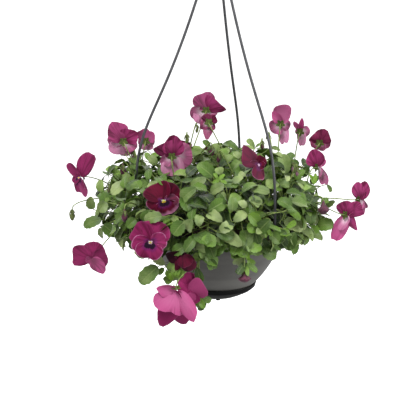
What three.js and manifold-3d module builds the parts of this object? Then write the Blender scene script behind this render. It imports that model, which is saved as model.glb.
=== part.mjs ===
// Trailing pansies in a hanging pot: a flared bowl with a clip-on saucer, a three-armed
// hanger with a hook, potting soil, and a cushion of leafy stems that carry the blooms.
// Millimetres, +Z up. The origin is the point inside the hook that bears on its support.
import * as THREE from "three";
import { mergeVertices } from "three/addons/utils/BufferGeometryUtils.js";
import Module from "manifold-3d";

const wasm = await Module();
wasm.setup();

// Driving dimensions. Heights below are measured from the plane of the pot's rim.
const HANG_HEIGHT = 440; // rim plane to the hook's bearing point
const SEAT_GAP = 0.3; // running gap between pieces that seat on each other

// Pot and saucer
const RIM_RADIUS = 118;
const COLLAR_DEPTH = 15;
const WALL = 2.2;
const BOWL_TOP_RADIUS = 110;
const BOWL_BOTTOM = -112;
const BOWL_BOTTOM_RADIUS = 28;
const BOWL_SWELL = [[84, -55], [70, -100]]; // radius and height of the side's curve handles
const BOWL_STEPS = 4;
const ROUND_SIDES = 24;
const BORE_SIDES = 6;
const DRAINS = 4;
const DRAIN_RADIUS = 3.5;
const DRAIN_CIRCLE = 17;
const SAUCER_RIM_Z = -95.5;
const SAUCER_BOTTOM = -117;
const SAUCER_FLOOR = -115; // the upper face of its base
const SAUCER_FOOT_RADIUS = 29;
const SAUCER_TONGUE = { width: 6, length: 10, thickness: 3, aside: 2 };
const SAUCER_WALL = 1.8;

// Hanger
const ARM_RADIUS = 120; // from the pot's axis to an arm's foot
const ARM_AZIMUTHS = [-47.7, 72.3, 192.3]; // degrees
const ARM_THICKNESS = 3.9;
const ARM_TOP_RADIUS = 7.5;
const ARM_BULGE = 2; // how far an arm swells out past its foot
const ARM_BULGE_PART = 0.445; // of the hub's height
const ARM_LEAN = 0.71; // how far back from the head the straight lean starts
const HUB_HEIGHT = 386;
const HUB_RADIUS = 11;
const HUB_THICKNESS = 9;
const SLOT_LENGTH = 12; // of the hub's slots, from near its middle out through its edge
const LUG_RADIUS = 6.2;
const LUG_SIDES = 8;
const LUG_BORE_RADIUS = 2.55; // around an arm's foot
const LUG_TOP = 2;
const LUG_BOTTOM = -19;
const HANGER_SIDES = 6; // of the arms' and the hook's round section
const ARM_STEPS = 7;
const HOOK_STEPS = 16;
const HOOK_WIRE_RADIUS = 2.6;
const HOOK_BEND_RADIUS = 12;
const HOOK_BEND_ANGLES = [200, 160, 125, 90, 55, 20, -15, -45]; // degrees, up and over

// Soil
const SOIL_EDGE_Z = -15;
const SOIL_CROWN = 5; // how far the middle of the soil stands above its edge
const ROOT_DEPTH = 18; // how deep a stem stands in its hole
const HOLE_CLEARANCE = 0.5; // around a stem in the soil

// Canopy of leafy stems: their tips lie on a flattened dome with a skirt below the rim
const DOME_STEMS = 25;
const TIP_RADIUS = 150;
const TIP_CROWN = 68;
const TIP_SKIRT = 42;
const TIP_BASE_Z = 12;
const ROOT_SPREAD = 80; // radius of the outermost roots
const STEM_RADIUS = 1.7;
const STEM_SIDES = 4;
const STEM_STEPS = 5;
const ARM_MARGIN = 8; // degrees between a stem and a hanger arm
const LEAVES_PER_STEM = 6;
const YOUNG_LEAVES = 2; // the first of them, next to the tip
const LEAF_LENGTHS = [38, 47];
const LEAF_WIDTHS = [22, 27];
const LEAF_TIP_GAP = 2; // from a stem's tip to its first leaf
const LEAF_SPACING = 11; // along the stem
const BARE_PART = 0.5; // of the stem, from its root: shaded leaves drop
const LEAF_THICKNESS = 1.2; // at the middle and the stalk; the blade thins to its edge
const LEAF_CLEARANCE = 0.4; // between leaves of different stems
const LEAF_SWINGS = [0, 0.9, -0.9, 1.8, -1.8]; // radians round the stem, tried in turn

// Stems that hang below the rim by more than the skirt: where their tips are
const TRAILING_TIPS = [
  [-26, -134, -84],
  [38, -133, -38],
];

// Flowers
const STALK_START = 0.72; // how far up its stem a flower stalk starts
const STALK_RADIUS = 1.1;
const STALK_SIDES = 3;
const STALK_STEPS = 4;
const CALYX_THICKNESS = 2.6;
const SEPAL_TIP_RADIUS = 8;
const SEPAL_NOTCH_RADIUS = 3;
const THROAT_RADIUS = 3;
const THROAT_BACK = 4; // from the middle of the face to the back of the throat
const THROAT_FRONT = 3;
const PETAL_THICKNESS = 1; // at the middle and the root; a petal thins to its edge

// How far in front of the middle of the face each petal's root is, from the back layer on.
const PETAL_LAYERS = [-1.4, -0.2, 0.9, 0.9, 2];

// The petals of an open, even face: direction in the face (degrees from its top), length
// and width as parts of the bloom's width, and how far each leans forward (degrees).
const EVEN_PETALS = [
  { turn: 27, length: 0.56, width: 0.56, lean: -14 },
  { turn: -27, length: 0.56, width: 0.56, lean: -10 },
  { turn: 84, length: 0.47, width: 0.44, lean: 6 },
  { turn: -84, length: 0.47, width: 0.44, lean: 6 },
  { turn: 180, length: 0.44, width: 0.62, lean: 12 },
];

const GOLDEN_ANGLE = Math.PI * (3 - Math.sqrt(5));
const UP = new THREE.Vector3(0, 0, 1);

// Each bloom: the middle of its face, the way it faces (azimuth and elevation in degrees),
// its colour, and its five petals from the back layer to the front. A petal is the place of
// its tip from the middle of the face and its width, then its own facing where it is turned.
// A bloom with a width instead of petals is open and even all round.
const BLOOMS = [
  { at: [-16, 35, 153], face: [95, 5], colour: "magenta", petals: [
    [-6, -6, 25, 32], [15, -5, 18, 32], [-21, 3, -12, 26], [16, 3, -9, 18], [-10, 4, -23, 26],
  ] },
  { at: [-11, 10, 139], face: [85, -5], colour: "wine", petals: [
    [-7, -2, 14, 13], [12, -2, 9, 12], [-13, 2, -8, 12], [7, 2, -12, 10], [-3, 3, -23, 13],
  ] },
  { at: [-136, 10, 111], face: [100, 0], colour: "magenta", petals: [
    [-13, -6, 26, 29], [16, -4, 15, 26], [-23, 2, 1, 20], [20, 3, -9, 22], [-5, 5, -23, 36],
  ] },
  { at: [-104, 45, 105], face: [85, 0], colour: "magenta", petals: [
    [-8, -4, 19, 19], [12, -4, 13, 19], [-12, 1, -2, 15], [13, 1, -2, 15], [0, 4, -16, 19],
  ] },
  { at: [-63, -45, 101], face: [85, 5], colour: "magenta", petals: [
    [-14, -8, 21, 40], [4, -6, 31, 34], [-16, 3, -13, 17], [28, 3, -1, 37], [5, 4, -31, 32],
  ] },
  { at: [-195, -35, 68], face: [200, 0], colour: "magenta", petals: [
    [11, -6, 35, 21, 258, 5], [-19, 5, 18, 14, 230, 0], [9, -5, -28, 9, 250, 0],
    [-12, 6, -9, 11, 210, 0], [-1, 2, -24, 19, 245, 0],
  ] },
  { at: [-73, -125, 55], face: [-90, 10], colour: "wine", petals: [
    [12, 6, 23, 34], [-13, 7, 24, 35], [21, -1, 0, 16], [-23, 0, -6, 20], [6, -4, -19, 31],
  ] },
  { at: [-90, -150, 4], face: [-100, 5], colour: "magenta", petals: [
    [12, 6, 26, 36], [-23, 6, 21, 31], [23, -1, 3, 23], [-27, -1, -5, 22], [-4, -5, -24, 38],
  ] },
  { at: [-177, -80, -40], face: [-95, 5], colour: "magenta", petals: [
    [8, 4, 22, 30], [-30, 3, 9, 27], [23, 0, -1, 28],
    [-8, -1, -4, 10], [18, -3, -17, 20, 85, 0],
  ] },
  { at: [-47, -151, -14], face: [-85, -5], colour: "wine", petals: [
    [-24, 2, -6, 18], [-5, 2, -13, 16], [13, 0, -24, 20], [-10, 0, -23, 9], [6, -3, -16, 19],
  ] },
  { at: [-56, -158, -63], face: [90, -75], colour: "magenta", petals: [
    [-18, 12, -54, 29, -90, 10], [10, 12, -54, 31, -90, 10], [-23, -1, 4, 20, 90, 0],
    [27, -3, -36, 20, 90, 0], [-9, -10, -32, 52, 90, 10],
  ] },
  { at: [-40, -145, -69], face: [-70, -5], colour: "magenta", petals: [
    [6, 3, 27, 31], [25, 2, 5, 31], [14, 0, -16, 15], [-11, 0, 16, 19], [5, -3, -13, 14],
  ] },
  { at: [57, -80, 96], face: [-60, 5], colour: "wine", petals: [
    [9, 4, 10, 15], [-20, 5, 18, 25], [9, -1, -2, 11], [-13, -1, 1, 11], [0, -4, -23, 18],
  ] },
  { at: [94, 30, 134], face: [80, 5], colour: "magenta", petals: [
    [2, -6, 31, 25], [-13, -6, 18, 12], [-14, 3, -12, 22], [13, 2, -6, 16], [7, 3, -33, 15],
  ] },
  { at: [125, 58, 117], face: [75, 5], colour: "magenta", petals: [
    [2, -2, 19, 7], [-11, -2, 16, 7], [-8, 1, -3, 10], [13, 1, -3, 18], [3, 3, -24, 13],
  ] },
  { at: [151, 25, 107], face: [80, 10], colour: "wine", petals: [
    [-11, -4, 13, 19], [10, -4, 17, 25], [-15, 1, -2, 16], [16, 1, -3, 19], [-2, 3, -14, 19],
  ] },
  { at: [147, -8, 77], face: [35, 0], colour: "magenta", petals: [
    [-9, -2, 26, 25, 90, 5], [10, 8, 10, 9, 45, 0], [10, 4, -14, 10, 45, 0],
    [4, -4, -15, 9, 40, 0], [10, 0, -28, 12, 50, 0],
  ] },
  { at: [207, -25, 33], face: [30, 0], colour: "magenta", petals: [
    [11, 4, 24, 19, 60, 0], [-7, -3, 26, 17, 85, 0], [9, 4, -13, 9, 60, 0],
    [-1, -3, -16, 9, 70, 0], [3, 1, -23, 10, 50, 0],
  ] },
  { at: [184, -62, 19], face: [40, -10], colour: "magenta", petals: [
    [20, 4, 15, 23, 70, 20], [-5, -2, 22, 25, 80, 20], [15, 4, -22, 13, -60, 0],
    [-10, -4, -22, 13, 60, 0], [-20, -2, -35, 21, 95, 0],
  ] },
  { at: [-60, 140, 62], face: [105, 10], colour: "magenta", width: 54 },
  { at: [72, 158, 26], face: [66, 8], colour: "wine", width: 56 },
  { at: [-150, 108, 12], face: [140, 0], colour: "magenta", width: 54 },
  { at: [0, 125, 62], face: [70, 15], colour: "magenta", width: 52 },
];

// Where each flower bud hangs.
const BUDS = [
  [38, -137, -56],
  [160, -60, 34],
  [-207, -40, 14],
  [-127, -118, 36],
  [2, -52, 102],
  [112, -64, 84],
  [70, 100, 90],
  [-20, 160, -20],
];

const MATERIALS = {
  pot: new THREE.MeshStandardMaterial({ color: 0x5c5b59, roughness: 0.5, metalness: 0 }),
  saucer: new THREE.MeshStandardMaterial({ color: 0x2b2a2c, roughness: 0.45, metalness: 0 }),
  hanger: new THREE.MeshStandardMaterial({ color: 0x46474a, roughness: 0.45, metalness: 0 }),
  soil: new THREE.MeshStandardMaterial({ color: 0x2e2118, roughness: 0.95, metalness: 0 }),
  leaf: new THREE.MeshStandardMaterial({ color: 0x6c8250, roughness: 0.6, metalness: 0 }),
  magenta: new THREE.MeshStandardMaterial({ color: 0x9a3268, roughness: 0.6, metalness: 0 }),
  wine: new THREE.MeshStandardMaterial({ color: 0x5e1535, roughness: 0.6, metalness: 0 }),
};

// A repeatable draw between 0 and 1 for a stem, a leaf on it and a purpose.
function draw(stem, leaf, purpose) {
  const wave = Math.sin(stem * 127.1 + leaf * 311.7 + purpose * 74.7) * 43758.5453;
  return wave - Math.floor(wave);
}

const radians = THREE.MathUtils.degToRad;
const lerp = THREE.MathUtils.lerp;
const vector = (x, y, z) => new THREE.Vector3(x, y, z);

function cylindrical(radius, azimuth, z) {
  return vector(radius * Math.cos(azimuth), radius * Math.sin(azimuth), z);
}

// The unit vector for an azimuth and an elevation in degrees.
function direction([azimuth, elevation]) {
  return cylindrical(Math.cos(radians(elevation)), radians(azimuth), Math.sin(radians(elevation)));
}

// Turns a closed three.js geometry into a solid, with its faces pointing outward.
function solid(geometry, matrix = new THREE.Matrix4()) {
  const bare = geometry.clone();
  bare.deleteAttribute("normal");
  bare.deleteAttribute("uv");
  bare.applyMatrix4(matrix);
  const merged = mergeVertices(bare, 1e-4);
  const points = merged.attributes.position.array;
  const triangles = [];
  for (let i = 0; i < merged.index.count; i += 3) {
    const [a, b, c] = [0, 1, 2].map((k) => merged.index.getX(i + k));
    if (a !== b && b !== c && c !== a) triangles.push(a, b, c);
  }
  if (signedVolume(points, triangles) < 0) {
    for (let i = 0; i < triangles.length; i += 3) {
      [triangles[i], triangles[i + 1]] = [triangles[i + 1], triangles[i]];
    }
  }
  return new wasm.Manifold(new wasm.Mesh({
    numProp: 3,
    vertProperties: new Float32Array(points),
    triVerts: new Uint32Array(triangles),
  }));
}

function signedVolume(points, triangles) {
  const corner = (i) => vector(points[3 * i], points[3 * i + 1], points[3 * i + 2]);
  let volume = 0;
  for (let i = 0; i < triangles.length; i += 3) {
    const [a, b, c] = [0, 1, 2].map((k) => corner(triangles[i + k]));
    volume += a.dot(b.cross(c)) / 6;
  }
  return volume;
}

function fuse(pieces) {
  return pieces.reduce((whole, piece) => whole.add(piece));
}

function meshFrom(body, name, material) {
  const { vertProperties, triVerts } = body.getMesh();
  const geometry = new THREE.BufferGeometry();
  geometry.setAttribute("position", new THREE.BufferAttribute(vertProperties, 3));
  geometry.setIndex(new THREE.BufferAttribute(triVerts, 1));
  geometry.computeVertexNormals();
  const mesh = new THREE.Mesh(geometry, material);
  mesh.name = name;
  return mesh;
}

// A lathe turns about Y, so it is stood up to turn about Z.
function turned(profile, sides = ROUND_SIDES) {
  const points = profile.map(([r, z]) => new THREE.Vector2(r, z));
  const geometry = new THREE.LatheGeometry(points, sides);
  return solid(geometry, new THREE.Matrix4().makeRotationX(Math.PI / 2));
}

function regularShape(radius, sides) {
  const shape = new THREE.Shape();
  for (let i = 0; i < sides; i++) {
    const angle = (2 * Math.PI * i) / sides;
    shape[i ? "lineTo" : "moveTo"](radius * Math.cos(angle), radius * Math.sin(angle));
  }
  shape.closePath();
  return shape;
}

function tube(curve, radius, sides, steps) {
  const options = { extrudePath: curve, steps, bevelEnabled: false };
  return solid(new THREE.ExtrudeGeometry(regularShape(radius, sides), options));
}

// An upright prism from one height to another.
function post(x, y, bottom, top, radius, sides) {
  const options = { depth: top - bottom, bevelEnabled: false };
  const geometry = new THREE.ExtrudeGeometry(regularShape(radius, sides), options);
  return solid(geometry, new THREE.Matrix4().makeTranslation(x, y, bottom));
}

// ---- Pot -------------------------------------------------------------------------

// The bowl's outer side, from under the collar to the edge of its flat bottom, moved
// inward by a distance measured square to it.
function bowlSide(inset) {
  const side = new THREE.CubicBezierCurve(
    new THREE.Vector2(BOWL_TOP_RADIUS, -COLLAR_DEPTH),
    ...BOWL_SWELL.map(([r, z]) => new THREE.Vector2(r, z)),
    new THREE.Vector2(BOWL_BOTTOM_RADIUS, BOWL_BOTTOM),
  );
  return Array.from({ length: BOWL_STEPS + 1 }, (_, i) => {
    const point = side.getPoint(i / BOWL_STEPS);
    const along = side.getTangent(i / BOWL_STEPS);
    return [point.x + along.y * inset, point.y - along.x * inset];
  });
}

function pot() {
  const outside = [[RIM_RADIUS, 0], [RIM_RADIUS, -COLLAR_DEPTH], ...bowlSide(0), [0, BOWL_BOTTOM]];
  const inside = [
    [0, BOWL_BOTTOM + WALL],
    ...bowlSide(WALL).reverse(),
    [BOWL_TOP_RADIUS - WALL, -COLLAR_DEPTH + WALL],
    [RIM_RADIUS - WALL, -COLLAR_DEPTH + WALL],
    [RIM_RADIUS - WALL, 0],
    [RIM_RADIUS, 0],
  ];
  let body = turned([...outside, ...inside]);
  for (const azimuth of ARM_AZIMUTHS.map(radians)) {
    const { x, y } = cylindrical(ARM_RADIUS, azimuth, 0);
    body = body.add(post(x, y, LUG_BOTTOM, LUG_TOP, LUG_RADIUS, LUG_SIDES));
    body = body.subtract(post(x, y, LUG_BOTTOM - 1, LUG_TOP + 1, LUG_BORE_RADIUS, BORE_SIDES));
  }
  for (let i = 0; i < DRAINS; i++) {
    const { x, y } = cylindrical(DRAIN_CIRCLE, (2 * Math.PI * i) / DRAINS, 0);
    body = body.subtract(post(x, y, BOWL_BOTTOM - WALL, BOWL_BOTTOM + 2 * WALL, DRAIN_RADIUS, BORE_SIDES));
  }
  return meshFrom(body, "pot", MATERIALS.pot);
}

// The bowl's outer radius at a height, by stepping down its side.
function bowlRadiusAt(z) {
  const side = bowlSide(0);
  const lower = side.findIndex(([, height]) => height <= z);
  const [[r1, z1], [r2, z2]] = [side[lower - 1], side[lower]];
  return r1 + ((r2 - r1) * (z - z1)) / (z2 - z1);
}

function saucer() {
  const seat = bowlRadiusAt(SAUCER_RIM_Z) + SEAT_GAP;
  const inner = [[seat, SAUCER_RIM_Z], [seat - 1.5, SAUCER_RIM_Z - 4.2], [41, -109], [27, SAUCER_FLOOR]];
  const outer = [
    [SAUCER_FOOT_RADIUS, SAUCER_BOTTOM],
    [42.5, -111.5],
    [seat + 0.6, SAUCER_RIM_Z - 5.5],
    [seat + SAUCER_WALL, SAUCER_RIM_Z],
  ];
  const floor = [[0, SAUCER_FLOOR], [0, SAUCER_BOTTOM]];
  const dish = turned([...inner, ...floor, ...outer, inner[0]]);
  const { width, length, thickness, aside } = SAUCER_TONGUE;
  const tongue = new THREE.BoxGeometry(width, length, thickness);
  const middle = vector(aside, -SAUCER_FOOT_RADIUS - 1, SAUCER_BOTTOM + thickness / 2);
  const place = new THREE.Matrix4().setPosition(middle);
  return meshFrom(dish.add(solid(tongue, place)), "saucer", MATERIALS.saucer);
}

// ---- Hanger ----------------------------------------------------------------------

// An arm rises almost upright from its lug, then leans in straight to the hub.
function armCurve(azimuth) {
  const foot = { r: ARM_RADIUS, z: LUG_TOP + 3 };
  const head = { r: ARM_TOP_RADIUS, z: HUB_HEIGHT };
  return new THREE.CubicBezierCurve3(
    cylindrical(foot.r, azimuth, foot.z),
    cylindrical(foot.r + ARM_BULGE, azimuth, ARM_BULGE_PART * HUB_HEIGHT),
    cylindrical(lerp(head.r, foot.r, ARM_LEAN), azimuth, lerp(head.z, foot.z, ARM_LEAN)),
    cylindrical(head.r, azimuth, head.z),
  );
}

// The foot passes down through the lug and is held by a barb under it.
function armFoot(azimuth) {
  const stem = ARM_THICKNESS / 2;
  const barb = [[0, LUG_BOTTOM - 7], [1.2, LUG_BOTTOM - 7], [3.6, LUG_BOTTOM - SEAT_GAP]];
  const neck = [[stem, LUG_BOTTOM - SEAT_GAP], [stem, LUG_TOP + SEAT_GAP]];
  const shoulder = [[4.2, LUG_TOP + SEAT_GAP], [3.6, LUG_TOP + 3.4], [0, LUG_TOP + 7]];
  const place = cylindrical(ARM_RADIUS, azimuth, 0);
  return turned([...barb, ...neck, ...shoulder], HANGER_SIDES).translate(place.x, place.y, place.z);
}

function arm(index) {
  const azimuth = radians(ARM_AZIMUTHS[index]);
  const rod = tube(armCurve(azimuth), ARM_THICKNESS / 2, HANGER_SIDES, ARM_STEPS);
  return meshFrom(rod.add(armFoot(azimuth)), `hanger_arm_${index + 1}`, MATERIALS.hanger);
}

// The hook: a hub with a slot for each arm's head, a shank and a bend over the support.
function hook() {
  const bottom = HUB_HEIGHT - HUB_THICKNESS / 2;
  const top = HUB_HEIGHT + HUB_THICKNESS / 2;
  const disc = [[0, bottom], [HUB_RADIUS, bottom], [HUB_RADIUS, top], [5, top + 4], [0, top + 4]];
  let body = turned(disc, ROUND_SIDES / 2);
  for (const azimuth of ARM_AZIMUTHS.map(radians)) {
    const slot = new THREE.BoxGeometry(SLOT_LENGTH, ARM_THICKNESS + 3 * SEAT_GAP, HUB_THICKNESS);
    const place = cylindrical(ARM_TOP_RADIUS + 2, azimuth, HUB_HEIGHT - HUB_THICKNESS / 3);
    const turn = new THREE.Matrix4().makeRotationZ(azimuth).setPosition(place);
    body = body.subtract(solid(slot, turn));
  }
  const bendZ = HANG_HEIGHT + HOOK_WIRE_RADIUS - HOOK_BEND_RADIUS;
  const path = new THREE.CatmullRomCurve3([
    vector(0, 0, top + 2),
    vector(-1, 0, top + 12),
    ...HOOK_BEND_ANGLES.map((angle) => vector(
      HOOK_BEND_RADIUS * Math.cos(radians(angle)),
      0,
      bendZ + HOOK_BEND_RADIUS * Math.sin(radians(angle)),
    )),
  ]);
  return meshFrom(body.add(tube(path, HOOK_WIRE_RADIUS, HANGER_SIDES, HOOK_STEPS)), "hanger_hook", MATERIALS.hanger);
}

// ---- Soil ------------------------------------------------------------------------

const soilTop = (radius) => SOIL_EDGE_Z + SOIL_CROWN * Math.cos((radius / BOWL_TOP_RADIUS) * (Math.PI / 2));

function soil(curves) {
  const side = bowlSide(WALL + SEAT_GAP).slice(1);
  const edge = side[0][0];
  const surface = [0, 0.55].map((part) => [part * edge, soilTop(part * edge)]);
  const base = [0, BOWL_BOTTOM + WALL + SEAT_GAP];
  let body = turned([...surface, [edge, soilTop(edge)], ...side, base]);
  for (const curve of curves) {
    const hole = tube(curve, STEM_RADIUS + HOLE_CLEARANCE, STEM_SIDES, STEM_STEPS);
    body = body.subtract(hole.translate(0, 0, -SEAT_GAP));
  }
  return meshFrom(body, "soil", MATERIALS.soil);
}

// ---- Leafy stems -----------------------------------------------------------------

// Keeps an azimuth clear of each hanger arm.
function clearOfArms(azimuth) {
  const margin = radians(ARM_MARGIN);
  for (const arm of ARM_AZIMUTHS.map(radians)) {
    const away = Math.atan2(Math.sin(azimuth - arm), Math.cos(azimuth - arm));
    if (Math.abs(away) < margin) return arm + margin * (away < 0 ? -1 : 1);
  }
  return azimuth;
}

function stemTip(index) {
  if (index >= DOME_STEMS) return vector(...TRAILING_TIPS[index - DOME_STEMS]);
  const rise = 0.98 - (1.5 * (index + 0.5)) / DOME_STEMS;
  const reach = TIP_RADIUS * Math.sqrt(1 - rise * rise);
  const azimuth = clearOfArms(index * GOLDEN_ANGLE + 0.6);
  return cylindrical(reach, azimuth, TIP_BASE_Z + rise * (rise > 0 ? TIP_CROWN : TIP_SKIRT));
}

// A stem rises straight out of the soil and arches outward, over the rim if its tip is low.
function stemCurve(index) {
  const tip = stemTip(index);
  const azimuth = Math.atan2(tip.y, tip.x);
  const reach = Math.hypot(tip.x, tip.y);
  const rootReach = (ROOT_SPREAD * reach) / TIP_RADIUS;
  const low = tip.z < 0;
  const archReach = rootReach + (low ? 0.9 : 0.8) * (reach - rootReach);
  const archZ = Math.max(tip.z - 8, low ? 52 - 0.3 * tip.z : 50);
  return new THREE.CubicBezierCurve3(
    cylindrical(rootReach, azimuth, soilTop(rootReach) - ROOT_DEPTH),
    cylindrical(rootReach, azimuth, 30 + 0.3 * Math.max(0, tip.z)),
    cylindrical(archReach, azimuth, archZ),
    tip,
  );
}

// The middle of a tube at a part of its length: a tube runs straight between its steps.
function tubePoint(curve, part, steps) {
  const step = Math.min(Math.floor(part * steps), steps - 1);
  const start = curve.getPointAt(step / steps);
  return start.lerp(curve.getPointAt((step + 1) / steps), part * steps - step);
}

// Three directions for a blade: along it, across it and out of its upper face.
function bladeFrame(along, facing) {
  const across = along.clone().cross(facing).normalize();
  return { along, across, out: across.clone().cross(along).normalize() };
}

// A closed blade: its outline and middle are [along, across, out] places in the frame. It
// is thick at its root, which is the first point, and at its middle, and thins to its edge.
// Both faces are split into the same fan of triangles round the middle.
function fanBlade(origin, frame, outline, middle, thickness) {
  const points = [...outline, middle];
  const centre = outline.length;
  const place = ([along, across, out], lift) => origin.clone()
    .addScaledVector(frame.along, along)
    .addScaledVector(frame.across, across)
    .addScaledVector(frame.out, out + lift);
  const halfAt = (i) => (i === 0 || i === centre ? thickness / 2 : 0);
  const upper = points.map((point, i) => place(point, halfAt(i)));
  const lower = points.map((point, i) => place(point, -halfAt(i)));
  const shift = points.length;
  const triangles = outline.flatMap((_, i) => {
    const next = (i + 1) % outline.length;
    const faces = [centre, i, next, centre + shift, next + shift, i + shift];
    return [...faces, i, i + shift, next + shift, i, next + shift, next];
  });
  const geometry = new THREE.BufferGeometry().setFromPoints([...upper, ...lower]);
  geometry.setIndex(triangles);
  return solid(geometry);
}

// A leaf on its stalk: a spoon-shaped blade with a blunt tooth a side, cupped along its
// middle. A young leaf is narrower, with a plain edge.
function leaf(place) {
  const { origin, frame, length, width, young } = place;
  const half = width / 2;
  const wave = 0.06 * length;
  const side = young
    ? [[0.3, 1, 0], [0.62, half, wave], [0.86, 0.62 * half, 0]]
    : [[0.3, 1.2, 0], [0.5, half, wave], [0.66, 0.82 * half, 0.2 * wave], [0.84, 0.8 * half, wave]];
  const right = side.map(([along, across, out]) => [along * length, -across, out]);
  const left = side.map(([along, across, out]) => [along * length, across, out]).reverse();
  const outline = [[0, 0, 0], ...right, [length, 0, -wave], ...left];
  return fanBlade(origin, frame, outline, [0.62 * length, 0, -0.6 * wave], LEAF_THICKNESS);
}

// How far along its stem a leaf stands.
const leafPart = (curve, j) => 1 - (LEAF_TIP_GAP + j * LEAF_SPACING) / curve.getLength();

// Where a stem's leaf stands: in a spiral down from its tip, turned to face up and outward,
// and larger the further it is from the tip. Its swing moves it round the stem.
function leafPlace(index, curve, j, swing) {
  const part = leafPart(curve, j);
  const origin = tubePoint(curve, part, STEM_STEPS);
  const tangent = curve.getTangentAt(part);
  const outward = vector(origin.x, origin.y, 1.6 * (origin.z + 30)).normalize();
  const side = outward.clone().cross(tangent).normalize();
  const back = side.clone().cross(tangent).normalize();
  const turn = j * GOLDEN_ANGLE + 6 * draw(index, 0, 1) + swing;
  const splay = radians(j < YOUNG_LEAVES ? 25 + 25 * j : 62 + 20 * draw(index, j, 2));
  const along = tangent.clone().multiplyScalar(Math.cos(splay))
    .addScaledVector(side, Math.sin(splay) * Math.cos(turn))
    .addScaledVector(back, Math.sin(splay) * Math.sin(turn))
    .addScaledVector(outward, 0.45)
    .normalize();
  const facing = outward.clone().addScaledVector(UP, 0.7)
    .addScaledVector(side, 0.7 * (draw(index, j, 3) - 0.5));
  const grown = Math.min(1, 0.55 + 0.15 * j);
  return {
    origin,
    frame: bladeFrame(along, facing),
    length: grown * lerp(...LEAF_LENGTHS, draw(index, j, 4)),
    width: grown * lerp(...LEAF_WIDTHS, draw(index, j, 5)),
    young: j < YOUNG_LEAVES,
  };
}

// ---- Stalks, calyces and buds ----------------------------------------------------

function bloomFrame(bloom) {
  const facing = direction(bloom.face);
  const level = UP.clone().cross(facing).normalize();
  const top = facing.clone().cross(level).normalize();
  return { centre: vector(...bloom.at), facing, top, side: top.clone().cross(facing) };
}

// A five-pointed green calyx that the bloom's throat seats on, thickest in the middle.
function calyx(bloom) {
  const { centre, facing, top, side } = bloomFrame(bloom);
  const middle = centre.clone().addScaledVector(facing, -THROAT_BACK - SEAT_GAP);
  const points = Array.from({ length: 10 }, (_, i) => {
    const radius = i % 2 ? SEPAL_NOTCH_RADIUS : SEPAL_TIP_RADIUS;
    const angle = (i * Math.PI) / 5;
    return middle.clone()
      .addScaledVector(top, radius * Math.cos(angle))
      .addScaledVector(side, radius * Math.sin(angle))
      .addScaledVector(facing, -1.2);
  });
  const back = middle.clone().addScaledVector(facing, -CALYX_THICKNESS);
  const geometry = new THREE.BufferGeometry().setFromPoints([...points, middle, back]);
  geometry.setIndex(points.flatMap((_, i) => [10, i, (i + 1) % 10, 11, (i + 1) % 10, i]));
  return solid(geometry);
}

// A flower stalk leaves its stem part of the way up, rises, and hooks over to its end,
// which it meets along the given direction.
function stalkCurve(curve, end, direction) {
  const start = tubePoint(curve, STALK_START, STEM_STEPS);
  const span = start.distanceTo(end);
  const rise = start.clone().lerp(end, 0.3).addScaledVector(UP, 0.12 * span);
  const neck = end.clone().addScaledVector(direction, -Math.min(0.35 * span, 16));
  return new THREE.CubicBezierCurve3(start, rise, neck, end);
}

function flowerStalk(curve, bloom) {
  const { centre, facing } = bloomFrame(bloom);
  const end = centre.clone().addScaledVector(facing, -THROAT_BACK - SEAT_GAP - 0.5 * CALYX_THICKNESS);
  return tube(stalkCurve(curve, end, facing), STALK_RADIUS, STALK_SIDES, STALK_STEPS);
}

// A closed bud nods at the end of its own stalk.
function bud(curve, place) {
  const [x, y, z] = place;
  const shape = [[0, -9], [3.2, -3], [2.6, 4], [0, 6]];
  const end = vector(x, y, z + 1);
  const stalk = tube(stalkCurve(curve, end, vector(0, 0, -1)), 1, STALK_SIDES, STALK_STEPS);
  return turned(shape, 5).translate(x, y, z).add(stalk);
}

// The stem that carries a bloom or bud: the one that a stalk to it would leave nearest by.
function carrier(curves, place) {
  const target = vector(...place);
  const distances = curves.map((curve) => curve.getPointAt(STALK_START).distanceTo(target));
  return distances.indexOf(Math.min(...distances));
}

// ---- Blooms ----------------------------------------------------------------------

// A bloom's petals: where each tip is from the middle of the face, its width and its facing.
function petalPlan(bloom) {
  const { facing, top, side } = bloomFrame(bloom);
  if (bloom.petals) {
    return bloom.petals.map(([x, y, z, width, ...turned]) => (
      { tip: vector(x, y, z), width, facing: turned.length ? direction(turned) : facing }
    ));
  }
  return EVEN_PETALS.map(({ turn, length, width, lean }) => {
    const flat = top.clone().multiplyScalar(Math.cos(radians(turn)))
      .addScaledVector(side, Math.sin(radians(turn)));
    const along = flat.multiplyScalar(Math.cos(radians(lean)))
      .addScaledVector(facing, Math.sin(radians(lean)));
    return { tip: along.multiplyScalar(length * bloom.width), width: width * bloom.width, facing };
  });
}

// A petal: a narrow claw that widens to a rounded, waved end.
function petal(origin, { tip, width, facing }) {
  const reach = tip.length();
  const half = width / 2;
  const wave = 0.06 * reach;
  const outline = [
    [1, 0, 0],
    [0.5 * reach, -0.84 * half, 0],
    [0.78 * reach, -half, wave],
    [reach, -0.42 * half, -wave],
    [reach, 0.42 * half, wave * 0.6],
    [0.78 * reach, half, -wave],
    [0.5 * reach, 0.84 * half, 0],
  ];
  const middle = [0.6 * reach, 0, -wave * 0.5];
  const frame = bladeFrame(tip.clone().normalize(), facing);
  return fanBlade(origin, frame, outline, middle, PETAL_THICKNESS);
}

// A five-sided throat, one side to each petal.
function throat(bloom) {
  const { centre, facing, top, side } = bloomFrame(bloom);
  const geometry = new THREE.CylinderGeometry(THROAT_RADIUS, 1.2 * THROAT_RADIUS, THROAT_BACK + THROAT_FRONT, 5);
  const axes = new THREE.Matrix4().makeBasis(side.clone().negate(), facing, top);
  const middle = centre.clone().addScaledVector(facing, (THROAT_FRONT - THROAT_BACK) / 2);
  return solid(geometry, axes.setPosition(middle));
}

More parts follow.
